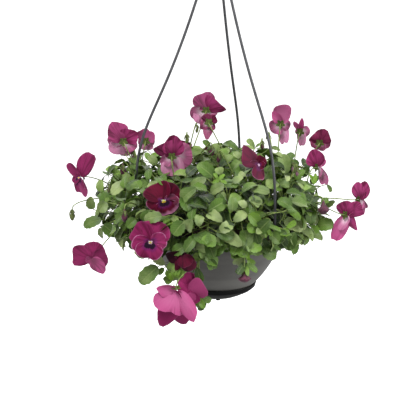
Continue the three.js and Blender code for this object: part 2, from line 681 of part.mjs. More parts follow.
function bloomBody(bloom) {
  const { centre, facing } = bloomFrame(bloom);
  const petals = petalPlan(bloom).map((plan, i) => (
    petal(centre.clone().addScaledVector(facing, PETAL_LAYERS[i]), plan)
  ));
  return fuse([throat(bloom), ...petals]);
}

// ---- Assembly --------------------------------------------------------------------

const twoDigits = (number) => String(number).padStart(2, "0");

const holder = [pot(), saucer(), hook(), ...ARM_AZIMUTHS.map((_, i) => arm(i))];
const stemCount = DOME_STEMS + TRAILING_TIPS.length;
const curves = Array.from({ length: stemCount }, (_, i) => stemCurve(i));
const blooms = BLOOMS.map(bloomBody);

// Each stem with its flower stalks and buds, before its leaves.
const stems = curves.map((curve, i) => {
  const carried = BLOOMS.filter((bloom) => carrier(curves, bloom.at) === i);
  const buds = BUDS.filter((place) => carrier(curves, place) === i);
  return fuse([
    tube(curve, STEM_RADIUS, STEM_SIDES, STEM_STEPS),
    ...carried.flatMap((bloom) => [flowerStalk(curve, bloom), calyx(bloom)]),
    ...buds.map((place) => bud(curve, place)),
  ]);
});

// A leaf stays only where it is clear of every other piece.
const fixed = holder.map((mesh) => solid(mesh.geometry));
const near = (a, b) => {
  const [p, q] = [a.boundingBox(), b.boundingBox()];
  return [0, 1, 2].every((k) => p.min[k] < q.max[k] + 1 && q.min[k] < p.max[k] + 1);
};
const isClear = (blade, others) => others.every(
  (other) => !near(blade, other) || blade.minGap(other, 1) >= LEAF_CLEARANCE,
);
for (let j = 0; j < LEAVES_PER_STEM; j++) {
  curves.forEach((curve, i) => {
    const others = [...fixed, ...blooms, ...stems.filter((_, k) => k !== i)];
    const places = LEAF_SWINGS.map((swing) => leafPlace(i, curve, j, swing));
    const clear = places.map(leaf).find((blade) => isClear(blade, others));
    if (clear && leafPart(curve, j) > BARE_PART) stems[i] = stems[i].add(clear);
  });
}

const basket = new THREE.Group();
basket.position.z = -HANG_HEIGHT;
basket.add(...holder, soil(curves));
stems.forEach((body, i) => basket.add(meshFrom(body, `leafy_stem_${twoDigits(i + 1)}`, MATERIALS.leaf)));
blooms.forEach((body, i) => {
  basket.add(meshFrom(body, `bloom_${twoDigits(i + 1)}`, MATERIALS[BLOOMS[i].colour]));
});

const model = new THREE.Group();
model.add(basket);
export default model;
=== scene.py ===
import math

import bpy
import numpy as np
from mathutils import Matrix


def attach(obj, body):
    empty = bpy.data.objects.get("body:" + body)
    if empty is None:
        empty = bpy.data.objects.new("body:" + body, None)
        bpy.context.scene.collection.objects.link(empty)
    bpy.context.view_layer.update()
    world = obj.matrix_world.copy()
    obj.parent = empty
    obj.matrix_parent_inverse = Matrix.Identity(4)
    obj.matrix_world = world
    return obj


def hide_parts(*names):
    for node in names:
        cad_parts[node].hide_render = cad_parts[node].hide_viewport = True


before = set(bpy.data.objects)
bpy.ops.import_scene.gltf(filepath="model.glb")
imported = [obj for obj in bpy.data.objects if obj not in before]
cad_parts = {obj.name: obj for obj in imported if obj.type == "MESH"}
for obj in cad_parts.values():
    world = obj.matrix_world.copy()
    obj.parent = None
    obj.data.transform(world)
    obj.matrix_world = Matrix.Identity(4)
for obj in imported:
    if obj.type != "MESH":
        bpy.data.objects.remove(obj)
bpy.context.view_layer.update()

# ---- Studio -------------------------------------------------------------------------
# The basket hangs in a white room. A wide pale floor lies half a metre below it. A large
# soft light stands to the front left, with weaker ones to the right and behind.

bpy.ops.object.select_all(action="DESELECT")
bpy.ops.object.camera_add(location=(-0.0134, -1.8436, 0.0341), rotation=(math.radians(76), 0, 0))
camera = bpy.context.object
camera.name = "camera"
camera.data.sensor_width = 36
camera.data.lens = 112.8
camera.data.clip_end = 200
bpy.context.scene.camera = camera
bpy.context.scene.view_settings.view_transform = "Standard"


def paint(red, green, blue):
    """A display colour, 0 to 255, as the shader's own linear colour."""
    parts = [c / 255 for c in (red, green, blue)]
    return tuple(c / 12.92 if c <= 0.04045 else ((c + 0.055) / 1.055) ** 2.4 for c in parts) + (1.0,)


class Signal:
    """A value in a shader that Python sums can be written with: each sum adds its node."""

    def __init__(self, finish, socket):
        self.finish = finish
        self.socket = socket

    def math(self, operation, *values):
        return self.finish.node("ShaderNodeMath", {"operation": operation}, dict(enumerate(values)))

    def __add__(self, other):
        return self.math("ADD", self, other)

    def __sub__(self, other):
        return self.math("SUBTRACT", self, other)

    def __rsub__(self, other):
        return self.math("SUBTRACT", other, self)

    def __mul__(self, other):
        return self.math("MULTIPLY", self, other)

    def __abs__(self):
        return self.math("ABSOLUTE", self)

    __radd__, __rmul__ = __add__, __mul__


class Finish:
    """A procedural finish: a material with one main shader, and nodes written as sums."""

    def __init__(self, name, **sockets):
        self.material = bpy.data.materials.new(name)
        self.material.use_nodes = True
        self.shader = self.material.node_tree.nodes["Principled BSDF"]
        for socket, value in sockets.items():
            self.set(socket.replace("_", " "), value)

    def node(self, kind, settings=None, inputs=None, output=0):
        made = self.material.node_tree.nodes.new(kind)
        for setting, value in (settings or {}).items():
            setattr(made, setting, value)
        for socket, value in (inputs or {}).items():
            self.feed(made.inputs[socket], value)
        return Signal(self, made.outputs[output])

    def feed(self, socket, value):
        if isinstance(value, Signal):
            self.material.node_tree.links.new(value.socket, socket)
        else:
            socket.default_value = value

    def set(self, socket, value):
        self.feed(self.shader.inputs[socket], value)

    def place(self):
        return self.node("ShaderNodeTexCoord", output=3)

    def drawn_out(self, upward):
        """Places whose height is scaled, so that a noise read at them runs level or upright."""
        return self.node("ShaderNodeMapping", inputs={"Vector": self.place(), "Scale": (1, 1, upward)})

    def noise(self, scale, detail=2.0, where=None):
        facts = {"Vector": where or self.place(), "Scale": scale, "Detail": detail}
        return self.node("ShaderNodeTexNoise", inputs=facts)

    def mark(self, name):
        """A number that the piece's own points carry."""
        return self.node("ShaderNodeAttribute", {"attribute_name": name}, output=2)

    def across_along(self):
        """How far across and how far along its blade or petal a point is, each from 0 to 1."""
        spot = self.node("ShaderNodeUVMap", {"uv_map": "UVMap"})
        split = self.node("ShaderNodeSeparateXYZ", inputs={0: spot})
        return split, Signal(self, split.socket.node.outputs[1])

    def step(self, value, start, end):
        """0 below the start and 1 past the end, with a soft rise between them."""
        limits = {"Value": value, "From Min": start, "From Max": end}
        return self.node("ShaderNodeMapRange", {"interpolation_type": "SMOOTHSTEP"}, limits)

    def mix(self, share, first, second):
        colours = {0: share, 6: first, 7: second}
        return self.node("ShaderNodeMix", {"data_type": "RGBA"}, colours, output=2)

    def two_tone(self, noise, start, end, first, second):
        """A base colour that turns from one paint to another as a noise rises."""
        self.set("Base Color", self.mix(self.step(noise, start, end), first, second))

    def bump(self, height, distance, strength):
        facts = {"Height": height, "Distance": distance, "Strength": strength}
        self.set("Normal", self.node("ShaderNodeBump", inputs=facts))


floor_paint = Finish("studio_floor", Roughness=0.9)
floor_whites = (paint(246, 246, 246), paint(250, 250, 250))
floor_paint.set("Base Color", floor_paint.mix(floor_paint.noise(0.4), *floor_whites))
floor_paint.set("Emission Color", (1, 1, 1, 1))
floor_paint.set("Emission Strength", 0.75)
bpy.ops.mesh.primitive_grid_add(x_subdivisions=8, y_subdivisions=8, size=60, location=(0, 0, -1.1))
floor = bpy.context.object
floor.name = "studio_floor"
bpy.ops.object.transform_apply(location=True, rotation=True, scale=True)
floor.data.materials.append(floor_paint.material)
floor.visible_diffuse = floor.visible_glossy = False

room = bpy.data.worlds.new("studio_room")
room.use_nodes = True
room.node_tree.nodes["Background"].inputs["Color"].default_value = (1, 1, 1, 1)
room.node_tree.nodes["Background"].inputs["Strength"].default_value = 0.58
bpy.context.scene.world = room

AIMED_AT = -0.4  # the height on the basket's own axis that every lamp is turned to
for lamp_name, lamp_at, lamp_size, lamp_power in (
    ("key_light", (-0.7, -1.2, 1.5), 0.9, 48),
    ("fill_light", (1.9, -0.9, 0.2), 1.0, 30),
    ("back_light", (-0.3, 1.7, 1.4), 1.2, 22),
):
    away = math.hypot(lamp_at[0], lamp_at[1])
    tilt = math.atan2(away, lamp_at[2] - AIMED_AT)
    heading = math.atan2(lamp_at[1], lamp_at[0]) + math.pi / 2
    bpy.ops.object.light_add(type="AREA", location=lamp_at, rotation=(tilt, 0, heading))
    lamp = bpy.context.object
    lamp.name = lamp_name
    lamp.data.size = lamp_size
    lamp.data.energy = lamp_power

# ---- Pot ----------------------------------------------------------------------------
# A hanging pot moulded in dark stone-grey polypropylene: a bowl that swells up to a
# short upright collar, with three bored lugs on the collar for the hanger's feet. Its
# side is satin, slightly marbled, with faint flow lines round it.

HANG_HEIGHT = 440  # millimetres from the rim's plane up to the hook's bearing point
RIM_RADIUS = 118
LIP = 1.1
COLLAR_DEPTH = 15
WALL = 2.2
ARM_CIRCLE = 120
ARM_TURNS = [math.radians(turn) for turn in (-47.7, 72.3, 192.3)]
LUG_RADIUS, LUG_BORE, LUG_EDGE = 6.2, 2.6, 0.9
LUG_TOP, LUG_BOTTOM = 2, -19
ROUND_SIDES = 96
SMOOTH_UNDER = math.radians(35)


def metres(points):
    """Places in millimetres from the middle of the rim, as places in the whole object."""
    return (np.asarray(points, float) - (0, 0, HANG_HEIGHT)) / 1000


def cubic(handles, parts):
    """Points on a cubic curve from its four handles."""
    t = np.asarray(parts, float)[:, None]
    a, b, c, d = np.asarray(handles, float)
    return (1 - t) ** 3 * a + 3 * t * (1 - t) ** 2 * b + 3 * t**2 * (1 - t) * c + t**3 * d


def bowl_side(inset):
    """The bowl's side from under the collar down to its flat bottom, moved inward."""
    line = cubic([(110, -COLLAR_DEPTH), (84, -55), (70, -100), (28, -112)], np.linspace(0, 1, 17))
    run = np.gradient(line, axis=0)
    run /= np.linalg.norm(run, axis=1)[:, None]
    return [(r + dz * inset, z - dr * inset) for (r, z), (dr, dz) in zip(line, run)]


def picked(*pieces):
    """Selects these pieces alone, with the first one active."""
    bpy.ops.object.select_all(action="DESELECT")
    for piece in pieces:
        piece.select_set(True)
    bpy.context.view_layer.objects.active = pieces[0]


def settled(piece):
    """A mesh's place and size go into its points, and its faces meet smoothly."""
    bpy.ops.object.transform_apply(location=True, rotation=True, scale=True)
    bpy.ops.object.shade_smooth_by_angle(angle=SMOOTH_UNDER)
    return piece


def turned(name, profile, sides=ROUND_SIDES, at=(0, 0)):
    """A disc drawn up through a profile of (radius, height), each step extruded and sized."""
    bpy.ops.object.select_all(action="DESELECT")
    radius, height = profile[0]
    middle = metres((at[0], at[1], height))
    bpy.ops.mesh.primitive_circle_add(
        vertices=sides, radius=radius / 1000, fill_type="NGON", location=middle,
    )
    piece = bpy.context.object
    piece.name = name
    bpy.ops.object.mode_set(mode="EDIT")
    bpy.ops.mesh.select_all(action="SELECT")
    for (r0, z0), (r1, z1) in zip(profile, profile[1:]):
        middle[2] += (z1 - z0) / 1000
        bpy.ops.mesh.extrude_region_move(TRANSFORM_OT_translate={"value": (0, 0, (z1 - z0) / 1000)})
        bpy.ops.transform.resize(value=(r1 / r0, r1 / r0, 1), center_override=tuple(middle))
    bpy.ops.mesh.select_all(action="SELECT")
    bpy.ops.mesh.normals_make_consistent(inside=False)
    bpy.ops.object.mode_set(mode="OBJECT")
    return settled(piece)


def joined(name, pieces):
    """Several meshes made one piece."""
    picked(*pieces)
    bpy.ops.object.join()
    pieces[0].name = name
    return pieces[0]


def fitted(piece, slot_name, finish, *nodes):
    """Gives a piece its finish and sets it in the frame in place of its nodes."""
    if finish:
        piece.data.materials.clear()
        piece.data.materials.append(finish.material)
    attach(piece, "root")
    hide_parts(*nodes)


lip = [
    (RIM_RADIUS + LIP * math.cos(angle) - LIP, LIP * math.sin(angle) - LIP)
    for angle in np.linspace(0, math.pi, 7)
]
bowl_profile = (
    bowl_side(0)[::-1]
    + [(112.5, -15.6), (116.4, -15.4), (117.6, -14.6), (RIM_RADIUS, -13.2)]
    + lip
    + [(RIM_RADIUS - WALL, -12.4), (114.4, -12.9), (109, -13.1)]
    + bowl_side(WALL)[1:]
)
bowl = turned("pot_bowl", bowl_profile)
lug_profile = [
    (LUG_BORE, LUG_BOTTOM + 3), (LUG_BORE, LUG_BOTTOM),
    (LUG_RADIUS - LUG_EDGE, LUG_BOTTOM), (LUG_RADIUS, LUG_BOTTOM + LUG_EDGE),
    (LUG_RADIUS, LUG_TOP - LUG_EDGE), (LUG_RADIUS - LUG_EDGE, LUG_TOP),
    (LUG_BORE, LUG_TOP), (LUG_BORE, LUG_TOP - 3),
]
lugs = []
for turn in ARM_TURNS:
    lug_at = (ARM_CIRCLE * math.cos(turn), ARM_CIRCLE * math.sin(turn))
    lugs.append(turned("lug", lug_profile, 32, lug_at))
pot = joined("pot_shell", [bowl] + lugs)

plastic = Finish("pot_stone_grey", Specular_IOR_Level=0.4)
marbling = plastic.noise(14, 4, plastic.drawn_out(5))
speckle = plastic.noise(900, 1)
specks = plastic.step(speckle, 0.62, 0.75) * 0.25
stone = plastic.mix(plastic.step(marbling, 0.35, 0.7), paint(84, 83, 80), paint(98, 97, 93))
plastic.set("Base Color", plastic.mix(specks, stone, paint(124, 123, 117)))
plastic.set("Roughness", 0.36 + 0.16 * marbling)
plastic.bump(marbling * 0.5 + speckle * 0.08, 0.0006, 0.5)
fitted(pot, "pot", plastic, "pot")

# ---- Saucer -------------------------------------------------------------------------
# A shallow drip saucer moulded in near-black polypropylene, clipped to the foot of the
# bowl, with a small grip tongue at the front of its base.

SAUCER_RIM, SAUCER_BASE = -95.5, -117
SAUCER_FIT = 0.3
side_radii, side_heights = zip(*bowl_side(0))
seat = float(np.interp(-SAUCER_RIM, [-z for z in side_heights], side_radii)) + SAUCER_FIT
saucer_profile = [
    (27, SAUCER_BASE + 0.6), (28.2, SAUCER_BASE), (29.4, SAUCER_BASE + 0.5), (34.5, -115.1),
    (42.5, -111.4), (52, -106.4), (seat + 0.2, SAUCER_RIM - 6.4), (seat + 1.2, SAUCER_RIM - 2.4),
    (seat + 1.8, SAUCER_RIM - 0.8), (seat + 1.5, SAUCER_RIM), (seat + 0.5, SAUCER_RIM),
    (seat, SAUCER_RIM - 0.6), (seat - 1.5, SAUCER_RIM - 4.4), (50.5, -104.6), (41, -109.2),
    (27, -115.2), (12, -115.3),
]
dish = turned("saucer_dish", saucer_profile)
bpy.ops.object.select_all(action="DESELECT")
tongue_at = metres((2, -30, SAUCER_BASE + 1.5))
bpy.ops.mesh.primitive_cube_add(size=1, location=tongue_at, scale=(0.006, 0.01, 0.003))
bpy.ops.object.mode_set(mode="EDIT")
bpy.ops.mesh.bevel(offset=0.0008, segments=3, affect="EDGES")
bpy.ops.object.mode_set(mode="OBJECT")
tongue = settled(bpy.context.object)
saucer = joined("saucer_dish", [dish, tongue])
black_plastic = Finish("saucer_black", Specular_IOR_Level=0.1)
scuffs = black_plastic.noise(40, 5)
black_plastic.set("Base Color", black_plastic.mix(scuffs, paint(8, 8, 9), paint(18, 18, 19)))
black_plastic.set("Roughness", 0.42 + 0.2 * scuffs)
black_plastic.bump(scuffs, 0.0004, 0.4)
fitted(saucer, "saucer", black_plastic, "saucer")

# ---- Hanger arms --------------------------------------------------------------------
# Three moulded nylon rods. Each rises almost upright from its lug and leans in to the
# hub; its foot passes down through the lug to a barb, and a shoulder sits on top.

ARM_RADIUS, HUB_HEIGHT, HUB_RING = 1.95, 386, 7.5
SHOULDER = LUG_TOP + 3
LOWER_HANDLE = 0.445 * HUB_HEIGHT  # the height up to which an arm rises almost upright
LEAN_SHARE = 0.71  # how far back down the slant its upper handle lies


def rod(name, lines, sides):
    """Round rods along lines of (x, y, z, radius) in millimetres, as one mesh."""
    drawing = bpy.data.curves.new(name, "CURVE")
    drawing.dimensions = "3D"
    drawing.bevel_depth = 0.001
    drawing.bevel_resolution = sides - 1
    drawing.use_fill_caps = True
    for line in lines:
        line = np.asarray(line, float)
        spline = drawing.splines.new("POLY")
        spline.points.add(len(line) - 1)
        where = np.c_[metres(line[:, :3]), np.ones(len(line))]
        spline.points.foreach_set("co", where.ravel())
        spline.points.foreach_set("radius", line[:, 3])
    piece = bpy.data.objects.new(name, drawing)
    bpy.context.scene.collection.objects.link(piece)
    picked(piece)
    bpy.ops.object.convert(target="MESH")
    return bpy.context.object


nylon = Finish("hanger_dark_grey", Coat_Weight=0.1, Coat_Roughness=0.25)
mould_lines = nylon.noise(420, 3, nylon.drawn_out(0.12))
nylon.two_tone(mould_lines, 0.3, 0.7, paint(52, 53, 56), paint(74, 75, 78))
nylon.set("Roughness", 0.38 + 0.15 * mould_lines)
nylon.bump(mould_lines, 0.0003, 0.4)
foot_profile = [
    (0.9, LUG_BOTTOM - 7), (1.3, LUG_BOTTOM - 6.6), (3.3, LUG_BOTTOM - 1.2), (3.5, LUG_BOTTOM - 0.5),
    (ARM_RADIUS, LUG_BOTTOM - 0.3), (ARM_RADIUS, LUG_TOP + 0.3), (3.9, LUG_TOP + 0.4),
    (4.2, LUG_TOP + 0.9), (3.8, LUG_TOP + 3.2), (2.6, LUG_TOP + 5.6), (1.2, LUG_TOP + 7),
]
reach = [ARM_CIRCLE, ARM_CIRCLE + 2, HUB_RING + (ARM_CIRCLE - HUB_RING) * LEAN_SHARE, HUB_RING]
heights = [SHOULDER, LOWER_HANDLE, HUB_HEIGHT + (SHOULDER - HUB_HEIGHT) * LEAN_SHARE, HUB_HEIGHT]
for number, turn in enumerate(ARM_TURNS, 1):
    heading = np.array([math.cos(turn), math.sin(turn), 0])
    handles = [r * heading + (0, 0, z) for r, z in zip(reach, heights)]
    line = np.c_[cubic(handles, np.linspace(0, 1, 41)), np.full(41, ARM_RADIUS)]
    shaft = rod("hanger_shaft", [line], 6)
    bpy.ops.object.shade_smooth_by_angle(angle=math.radians(50))
    foot = turned("hanger_foot", foot_profile, 24, ARM_CIRCLE * heading[:2])
    arm = joined(f"hanger_rod_{number}", [shaft, foot])
    fitted(arm, "hanger", nylon, f"hanger_arm_{number}")

# ---- Hook ---------------------------------------------------------------------------
# A moulded hub that the three rods clip into, with a bent wire hook of the same dark
# grey standing on it.

HUB_RADIUS, HUB_HALF, WIRE, BEND = 11, 4.5, 2.6, 12
hub_top = HUB_HEIGHT + HUB_HALF
hub_profile = [
    (HUB_RADIUS - 1, HUB_HEIGHT - HUB_HALF), (HUB_RADIUS, HUB_HEIGHT - HUB_HALF + 1),
    (HUB_RADIUS, hub_top - 1), (HUB_RADIUS - 1, hub_top), (5.6, hub_top + 3.2), (4.4, hub_top + 4),
    (1, hub_top + 4.2),
]
hub = turned("hook_hub", hub_profile, 48)
bend_height = HANG_HEIGHT + WIRE - BEND
corners = [(0, hub_top + 2), (-1, hub_top + 12)]
for angle in np.radians((200, 160, 125, 90, 55, 20, -15, -45)):
    corners.append((BEND * math.cos(angle), bend_height + BEND * math.sin(angle)))
corners = np.array(corners)
pull = np.gradient(corners, axis=0) / 3
hook_line = []
for k in range(len(corners) - 1):
    handles = [corners[k], corners[k] + pull[k], corners[k + 1] - pull[k + 1], corners[k + 1]]
    hook_line += [(x, 0, z, WIRE) for x, z in cubic(handles, np.linspace(0, 1, 7)[:-1])]
hook_line.append((corners[-1][0], 0, corners[-1][1], WIRE))
wire = rod("hook_wire", [hook_line], 7)
bpy.ops.object.shade_smooth_by_angle(angle=math.radians(50))
hook = joined("hook_and_hub", [hub, wire])
fitted(hook, "hanger", nylon, "hanger_hook")

# ---- Soil ---------------------------------------------------------------------------
# Peat-based potting soil that fills the bowl to a thumb's width below the rim. Its top
# is lumpy, with crumbs of bark and peat lying on it.

SOIL_EDGE, SOIL_CROWN, BOWL_MOUTH = -15, 5, 110
LUMPS_ABOVE, LUMPS_WITHIN = -19, 104
CRUMBS = 90


def soil_top(radius):
    """The soil's height at a distance from the pot's axis."""
    return SOIL_EDGE + SOIL_CROWN * math.cos(radius / BOWL_MOUTH * math.pi / 2)


soil_side = bowl_side(WALL + 0.3)[::-1][:-1]
rings = [(r, soil_top(r)) for r in (106, 103, 99, 94, 88, 81, 73, 64, 54, 43, 32, 21, 11, 4)]
soil = turned("soil_bed", soil_side + rings, 72)
bpy.ops.object.mode_set(mode="EDIT")
bpy.ops.mesh.select_all(action="DESELECT")
bpy.ops.object.mode_set(mode="OBJECT")
for vertex in soil.data.vertices:
    high = vertex.co.z > (LUMPS_ABOVE - HANG_HEIGHT) / 1000
    vertex.select = high and math.hypot(vertex.co.x, vertex.co.y) < LUMPS_WITHIN / 1000
bpy.ops.object.mode_set(mode="EDIT")
bpy.ops.transform.vertex_random(offset=0.0016, uniform=0.3, normal=0.7, seed=3)
bpy.ops.object.mode_set(mode="OBJECT")
chance = np.random.default_rng(11)
crumbs = [soil]
bpy.ops.object.select_all(action="DESELECT")
bpy.ops.mesh.primitive_ico_sphere_add(subdivisions=1, radius=0.0024)
crumb = bpy.context.object
bpy.ops.object.mode_set(mode="EDIT")
bpy.ops.transform.vertex_random(offset=0.0009, uniform=1.0, normal=0.0, seed=5)
bpy.ops.object.mode_set(mode="OBJECT")
for _ in range(CRUMBS):
    r = 100 * math.sqrt(chance.random())
    turn = chance.random() * 2 * math.pi
    copy = crumb.copy()
    copy.data = crumb.data.copy()
    bpy.context.scene.collection.objects.link(copy)
    copy.location = metres((r * math.cos(turn), r * math.sin(turn), soil_top(r) + 0.6))
    copy.rotation_euler = tuple(chance.random(3) * 6)
    copy.scale = tuple(0.5 + chance.random(3))
    crumbs.append(copy)
bpy.data.objects.remove(crumb)
soil = joined("soil_bed", crumbs)
peat = Finish("soil_peat", Roughness=0.95, Specular_IOR_Level=0.2)
grains = peat.noise(420, 6)
clods = peat.noise(60, 3)
dark_peat = peat.mix(peat.step(clods, 0.35, 0.65), paint(33, 24, 17), paint(58, 43, 31))
peat.set("Base Color", peat.mix(peat.step(grains, 0.56, 0.72), dark_peat, paint(104, 80, 56)))
peat.bump(grains + clods, 0.002, 0.9)
fitted(soil, "soil", peat, "soil")

# ---- Leafy stems --------------------------------------------------------------------
# Twenty-five pansy stems rise out of the soil and arch into a cushion that falls over the
# rim, and two more trail down the front. They carry round-toothed leaves on long stalks,
# and the flower stalks, sepals and buds that are nearest to each.

GOLDEN = math.pi * (3 - math.sqrt(5))
UP = np.array([0, 0, 1.0])
DOME_STEMS = 25
STEM_STEPS = 40
STEM_RADII = (1.5, 0.9)  # at the root and at the tip, as for the stalks
LEAF_STALK, BLOOM_STALK, BUD_STALK = (0.75, 0.55), (1.0, 0.7), (0.95, 0.75)
BUD_GIRTH, BUD_LENGTH = 3.4, 7.5
TUFT_LEAVES = 7
LEAF_SLOT, STEM_SLOT, SEPAL_SLOT, BUD_SLOT = 0, 2, 3, 4
UNMARKED = (0.5, 0.0)  # the tone and kind of what has no use for them
TIP_CIRCLE, ROOT_CIRCLE, ROOT_DEPTH = 150, 80, 18
TRAILING_TIPS = [(-26, -134, -84), (38, -133, -38)]
STALK_STEP = 29  # the step along a stem at which its flower stalks leave it
ARM_GAP = math.radians(8)


def unit(vector):
    """The same direction, one long."""
    vector = np.asarray(vector, float)
    return vector / np.linalg.norm(vector)


def cylindrical(radius, turn, height):
    """A place from its distance from the pot's axis, its turn round it and its height."""
    return np.array([radius * math.cos(turn), radius * math.sin(turn), height])


def direction(turn, rise):
    """A direction from its turn and its rise, in degrees."""
    turn, rise = math.radians(turn), math.radians(rise)
    return cylindrical(math.cos(rise), turn, math.sin(rise))


def draw(stem, leaf, purpose):
    """A repeatable draw between 0 and 1 for a stem, a leaf on it and a purpose."""
    return (math.sin(stem * 127.1 + leaf * 311.7 + purpose * 74.7) * 43758.5453) % 1


def clear_of_arms(turn):
    """A turn round the pot, moved aside where one of the hanger's arms stands."""
    for arm_turn in ARM_TURNS:
        away = math.remainder(turn - arm_turn, 2 * math.pi)
        if abs(away) < ARM_GAP:
            return arm_turn + math.copysign(ARM_GAP, away)
    return turn


def stem_tip(i):
    """Where a stem ends: spread evenly over a dome, or trailing."""
    if i >= DOME_STEMS:
        return np.array(TRAILING_TIPS[i - DOME_STEMS], float)
    rise = 0.98 - 1.5 * (i + 0.5) / DOME_STEMS
    reach = TIP_CIRCLE * math.sqrt(1 - rise * rise)
    return cylindrical(reach, clear_of_arms(i * GOLDEN + 0.6), 12 + rise * (68 if rise > 0 else 42))


def stem_handles(i):
    """A stem's curve: up from its root in the soil, over the rim, and out or down to its tip."""
    tip = stem_tip(i)
    turn = math.atan2(tip[1], tip[0])
    reach = math.hypot(tip[0], tip[1])
    root = ROOT_CIRCLE * reach / TIP_CIRCLE
    low = tip[2] < 0
    arch = root + (0.9 if low else 0.8) * (reach - root)
    arch_height = max(tip[2] - 8, 52 - 0.3 * tip[2] if low else 50)
    return [
        cylindrical(root, turn, soil_top(root) - ROOT_DEPTH),
        cylindrical(root, turn, 30 + 0.3 * max(0, tip[2])),
        cylindrical(arch, turn, arch_height),
        tip,
    ]


def even_points(handles):
    """Points along a cubic curve that are evenly spaced by length."""
    fine = cubic(handles, np.linspace(0, 1, 201))
    run = np.r_[0, np.cumsum(np.linalg.norm(np.diff(fine, axis=0), axis=1))]
    marks = np.linspace(0, run[-1], STEM_STEPS + 1)
    return np.stack([np.interp(marks, run, fine[:, axis]) for axis in range(3)], axis=1)


stems = [even_points(stem_handles(i)) for i in range(DOME_STEMS + len(TRAILING_TIPS))]


def blade_master(name, columns, rows, outline, thickness):
    """A flat blade from a grid, one unit long, closed by a second face that shares its edge.
    The outline gives a grid point's x and y from how far along and how far across it is."""
    bpy.ops.object.select_all(action="DESELECT")
    bpy.ops.mesh.primitive_grid_add(x_subdivisions=columns, y_subdivisions=rows, size=2)
    piece = bpy.context.object
    piece.name = name
    mesh = piece.data
    spots = {}
    for vertex in mesh.vertices:
        across, along = vertex.co.x, (vertex.co.y + 1) / 2
        x, y = outline(along, across)
        spots[vertex.index] = (across, y)
        vertex.co = (x, y, 0)
    for loop in mesh.loops:
        across, y = spots[loop.vertex_index]
        mesh.uv_layers[0].data[loop.index].uv = ((across + 1) / 2, y)
    rim = {v for edge in boundary(mesh) for v in edge}
    inner = [v.index for v in mesh.vertices if v.index not in rim]
    count, faces = len(mesh.vertices), len(mesh.polygons)
    bpy.ops.object.mode_set(mode="EDIT")
    bpy.ops.mesh.select_all(action="SELECT")
    bpy.ops.mesh.duplicate()
    bpy.ops.mesh.flip_normals()
    bpy.ops.object.mode_set(mode="OBJECT")
    for index in inner:
        mesh.vertices[index].co.z += thickness / 2
        mesh.vertices[index + count].co.z -= thickness / 2
    for polygon in mesh.polygons:
        polygon.material_index = int(polygon.index >= faces)
    bpy.ops.object.mode_set(mode="EDIT")
    bpy.ops.mesh.select_all(action="SELECT")
    bpy.ops.mesh.remove_doubles(threshold=1e-5)
    bpy.ops.object.mode_set(mode="OBJECT")
    return taken_off(piece)


def boundary(mesh):
    """The edges of a mesh that only one face uses."""
    uses = {}
    for polygon in mesh.polygons:
        for key in polygon.edge_keys:
            uses[key] = uses.get(key, 0) + 1
    return [key for key, times in uses.items() if times == 1]


def read_off(items, field, width=1, kind=float):
    """One field of all of a mesh's points, corners or faces."""
    values = np.zeros(len(items) * width, kind)
    items.foreach_get(field, values)
    return values


def taken_off(piece):
    """A mesh's points, corners, face sizes, material numbers and UVs; the mesh is cleared away."""
    mesh = piece.data
    master = {
        "points": read_off(mesh.vertices, "co", 3).reshape(-1, 3),
        "corners": read_off(mesh.loops, "vertex_index", kind=int),
        "sizes": read_off(mesh.polygons, "loop_total", kind=int),
        "slots": read_off(mesh.polygons, "material_index", kind=int),
        "uvs": np.zeros((len(mesh.loops), 2)),
    }
    if mesh.uv_layers:
        master["uvs"] = read_off(mesh.uv_layers[0].data, "uv", 2).reshape(-1, 2)
    bpy.data.objects.remove(piece)
    return master


def laid_up(name, parts, materials):
    """One mesh of many parts. A part is a master, its places in metres, its first material
    number, and two marks that its finish reads: its tone and its kind."""
    points, corners, sizes, slots, uvs, tones, kinds = [], [], [], [], [], [], []
    shift = 0
    for master, places, first_slot, tone, kind in parts:
        points.append(places)
        corners.append(master["corners"] + shift)
        sizes.append(master["sizes"])
        slots.append(master["slots"] + first_slot)
        uvs.append(master["uvs"])
        tones.append(np.full(len(places), tone))
        kinds.append(np.full(len(places), kind))
        shift += len(places)
    points, corners, sizes = np.concatenate(points), np.concatenate(corners), np.concatenate(sizes)
    mesh = bpy.data.meshes.new(name)
    mesh.vertices.add(len(points))
    mesh.vertices.foreach_set("co", points.ravel())
    mesh.loops.add(len(corners))
    mesh.loops.foreach_set("vertex_index", corners)
    mesh.polygons.add(len(sizes))
    mesh.polygons.foreach_set("loop_start", np.r_[0, np.cumsum(sizes)[:-1]])
    mesh.polygons.foreach_set("loop_total", sizes)
    mesh.polygons.foreach_set("material_index", np.concatenate(slots))
    mesh.uv_layers.new(name="UVMap").data.foreach_set("uv", np.concatenate(uvs).ravel())
    for mark, values in (("tone", tones), ("kind", kinds)):
        mesh.attributes.new(mark, "FLOAT", "POINT").data.foreach_set("value", np.concatenate(values))
    mesh.update(calc_edges=True)
    mesh.validate()
    piece = bpy.data.objects.new(name, mesh)
    bpy.context.scene.collection.objects.link(piece)
    for finish in materials:
        mesh.materials.append(finish.material)
    picked(piece)
    bpy.ops.object.shade_smooth_by_angle(angle=math.radians(78))
    return piece


def oval(belly, teeth):
    """A blade's outline: belly moves its widest place towards the stalk, teeth notch its edge."""
    def outline(along, across):
        swing = math.pi * along
        half = 0.5 * math.sin(swing) * (1 + belly * math.cos(swing))
        row = round(along * 12)
        tooth = teeth * (1 if row % 2 else -1) if abs(across) > 0.99 and 2 < row < 11 else 0
        return across * half * (1 + tooth), (1 - math.cos(swing)) / 2
    return outline


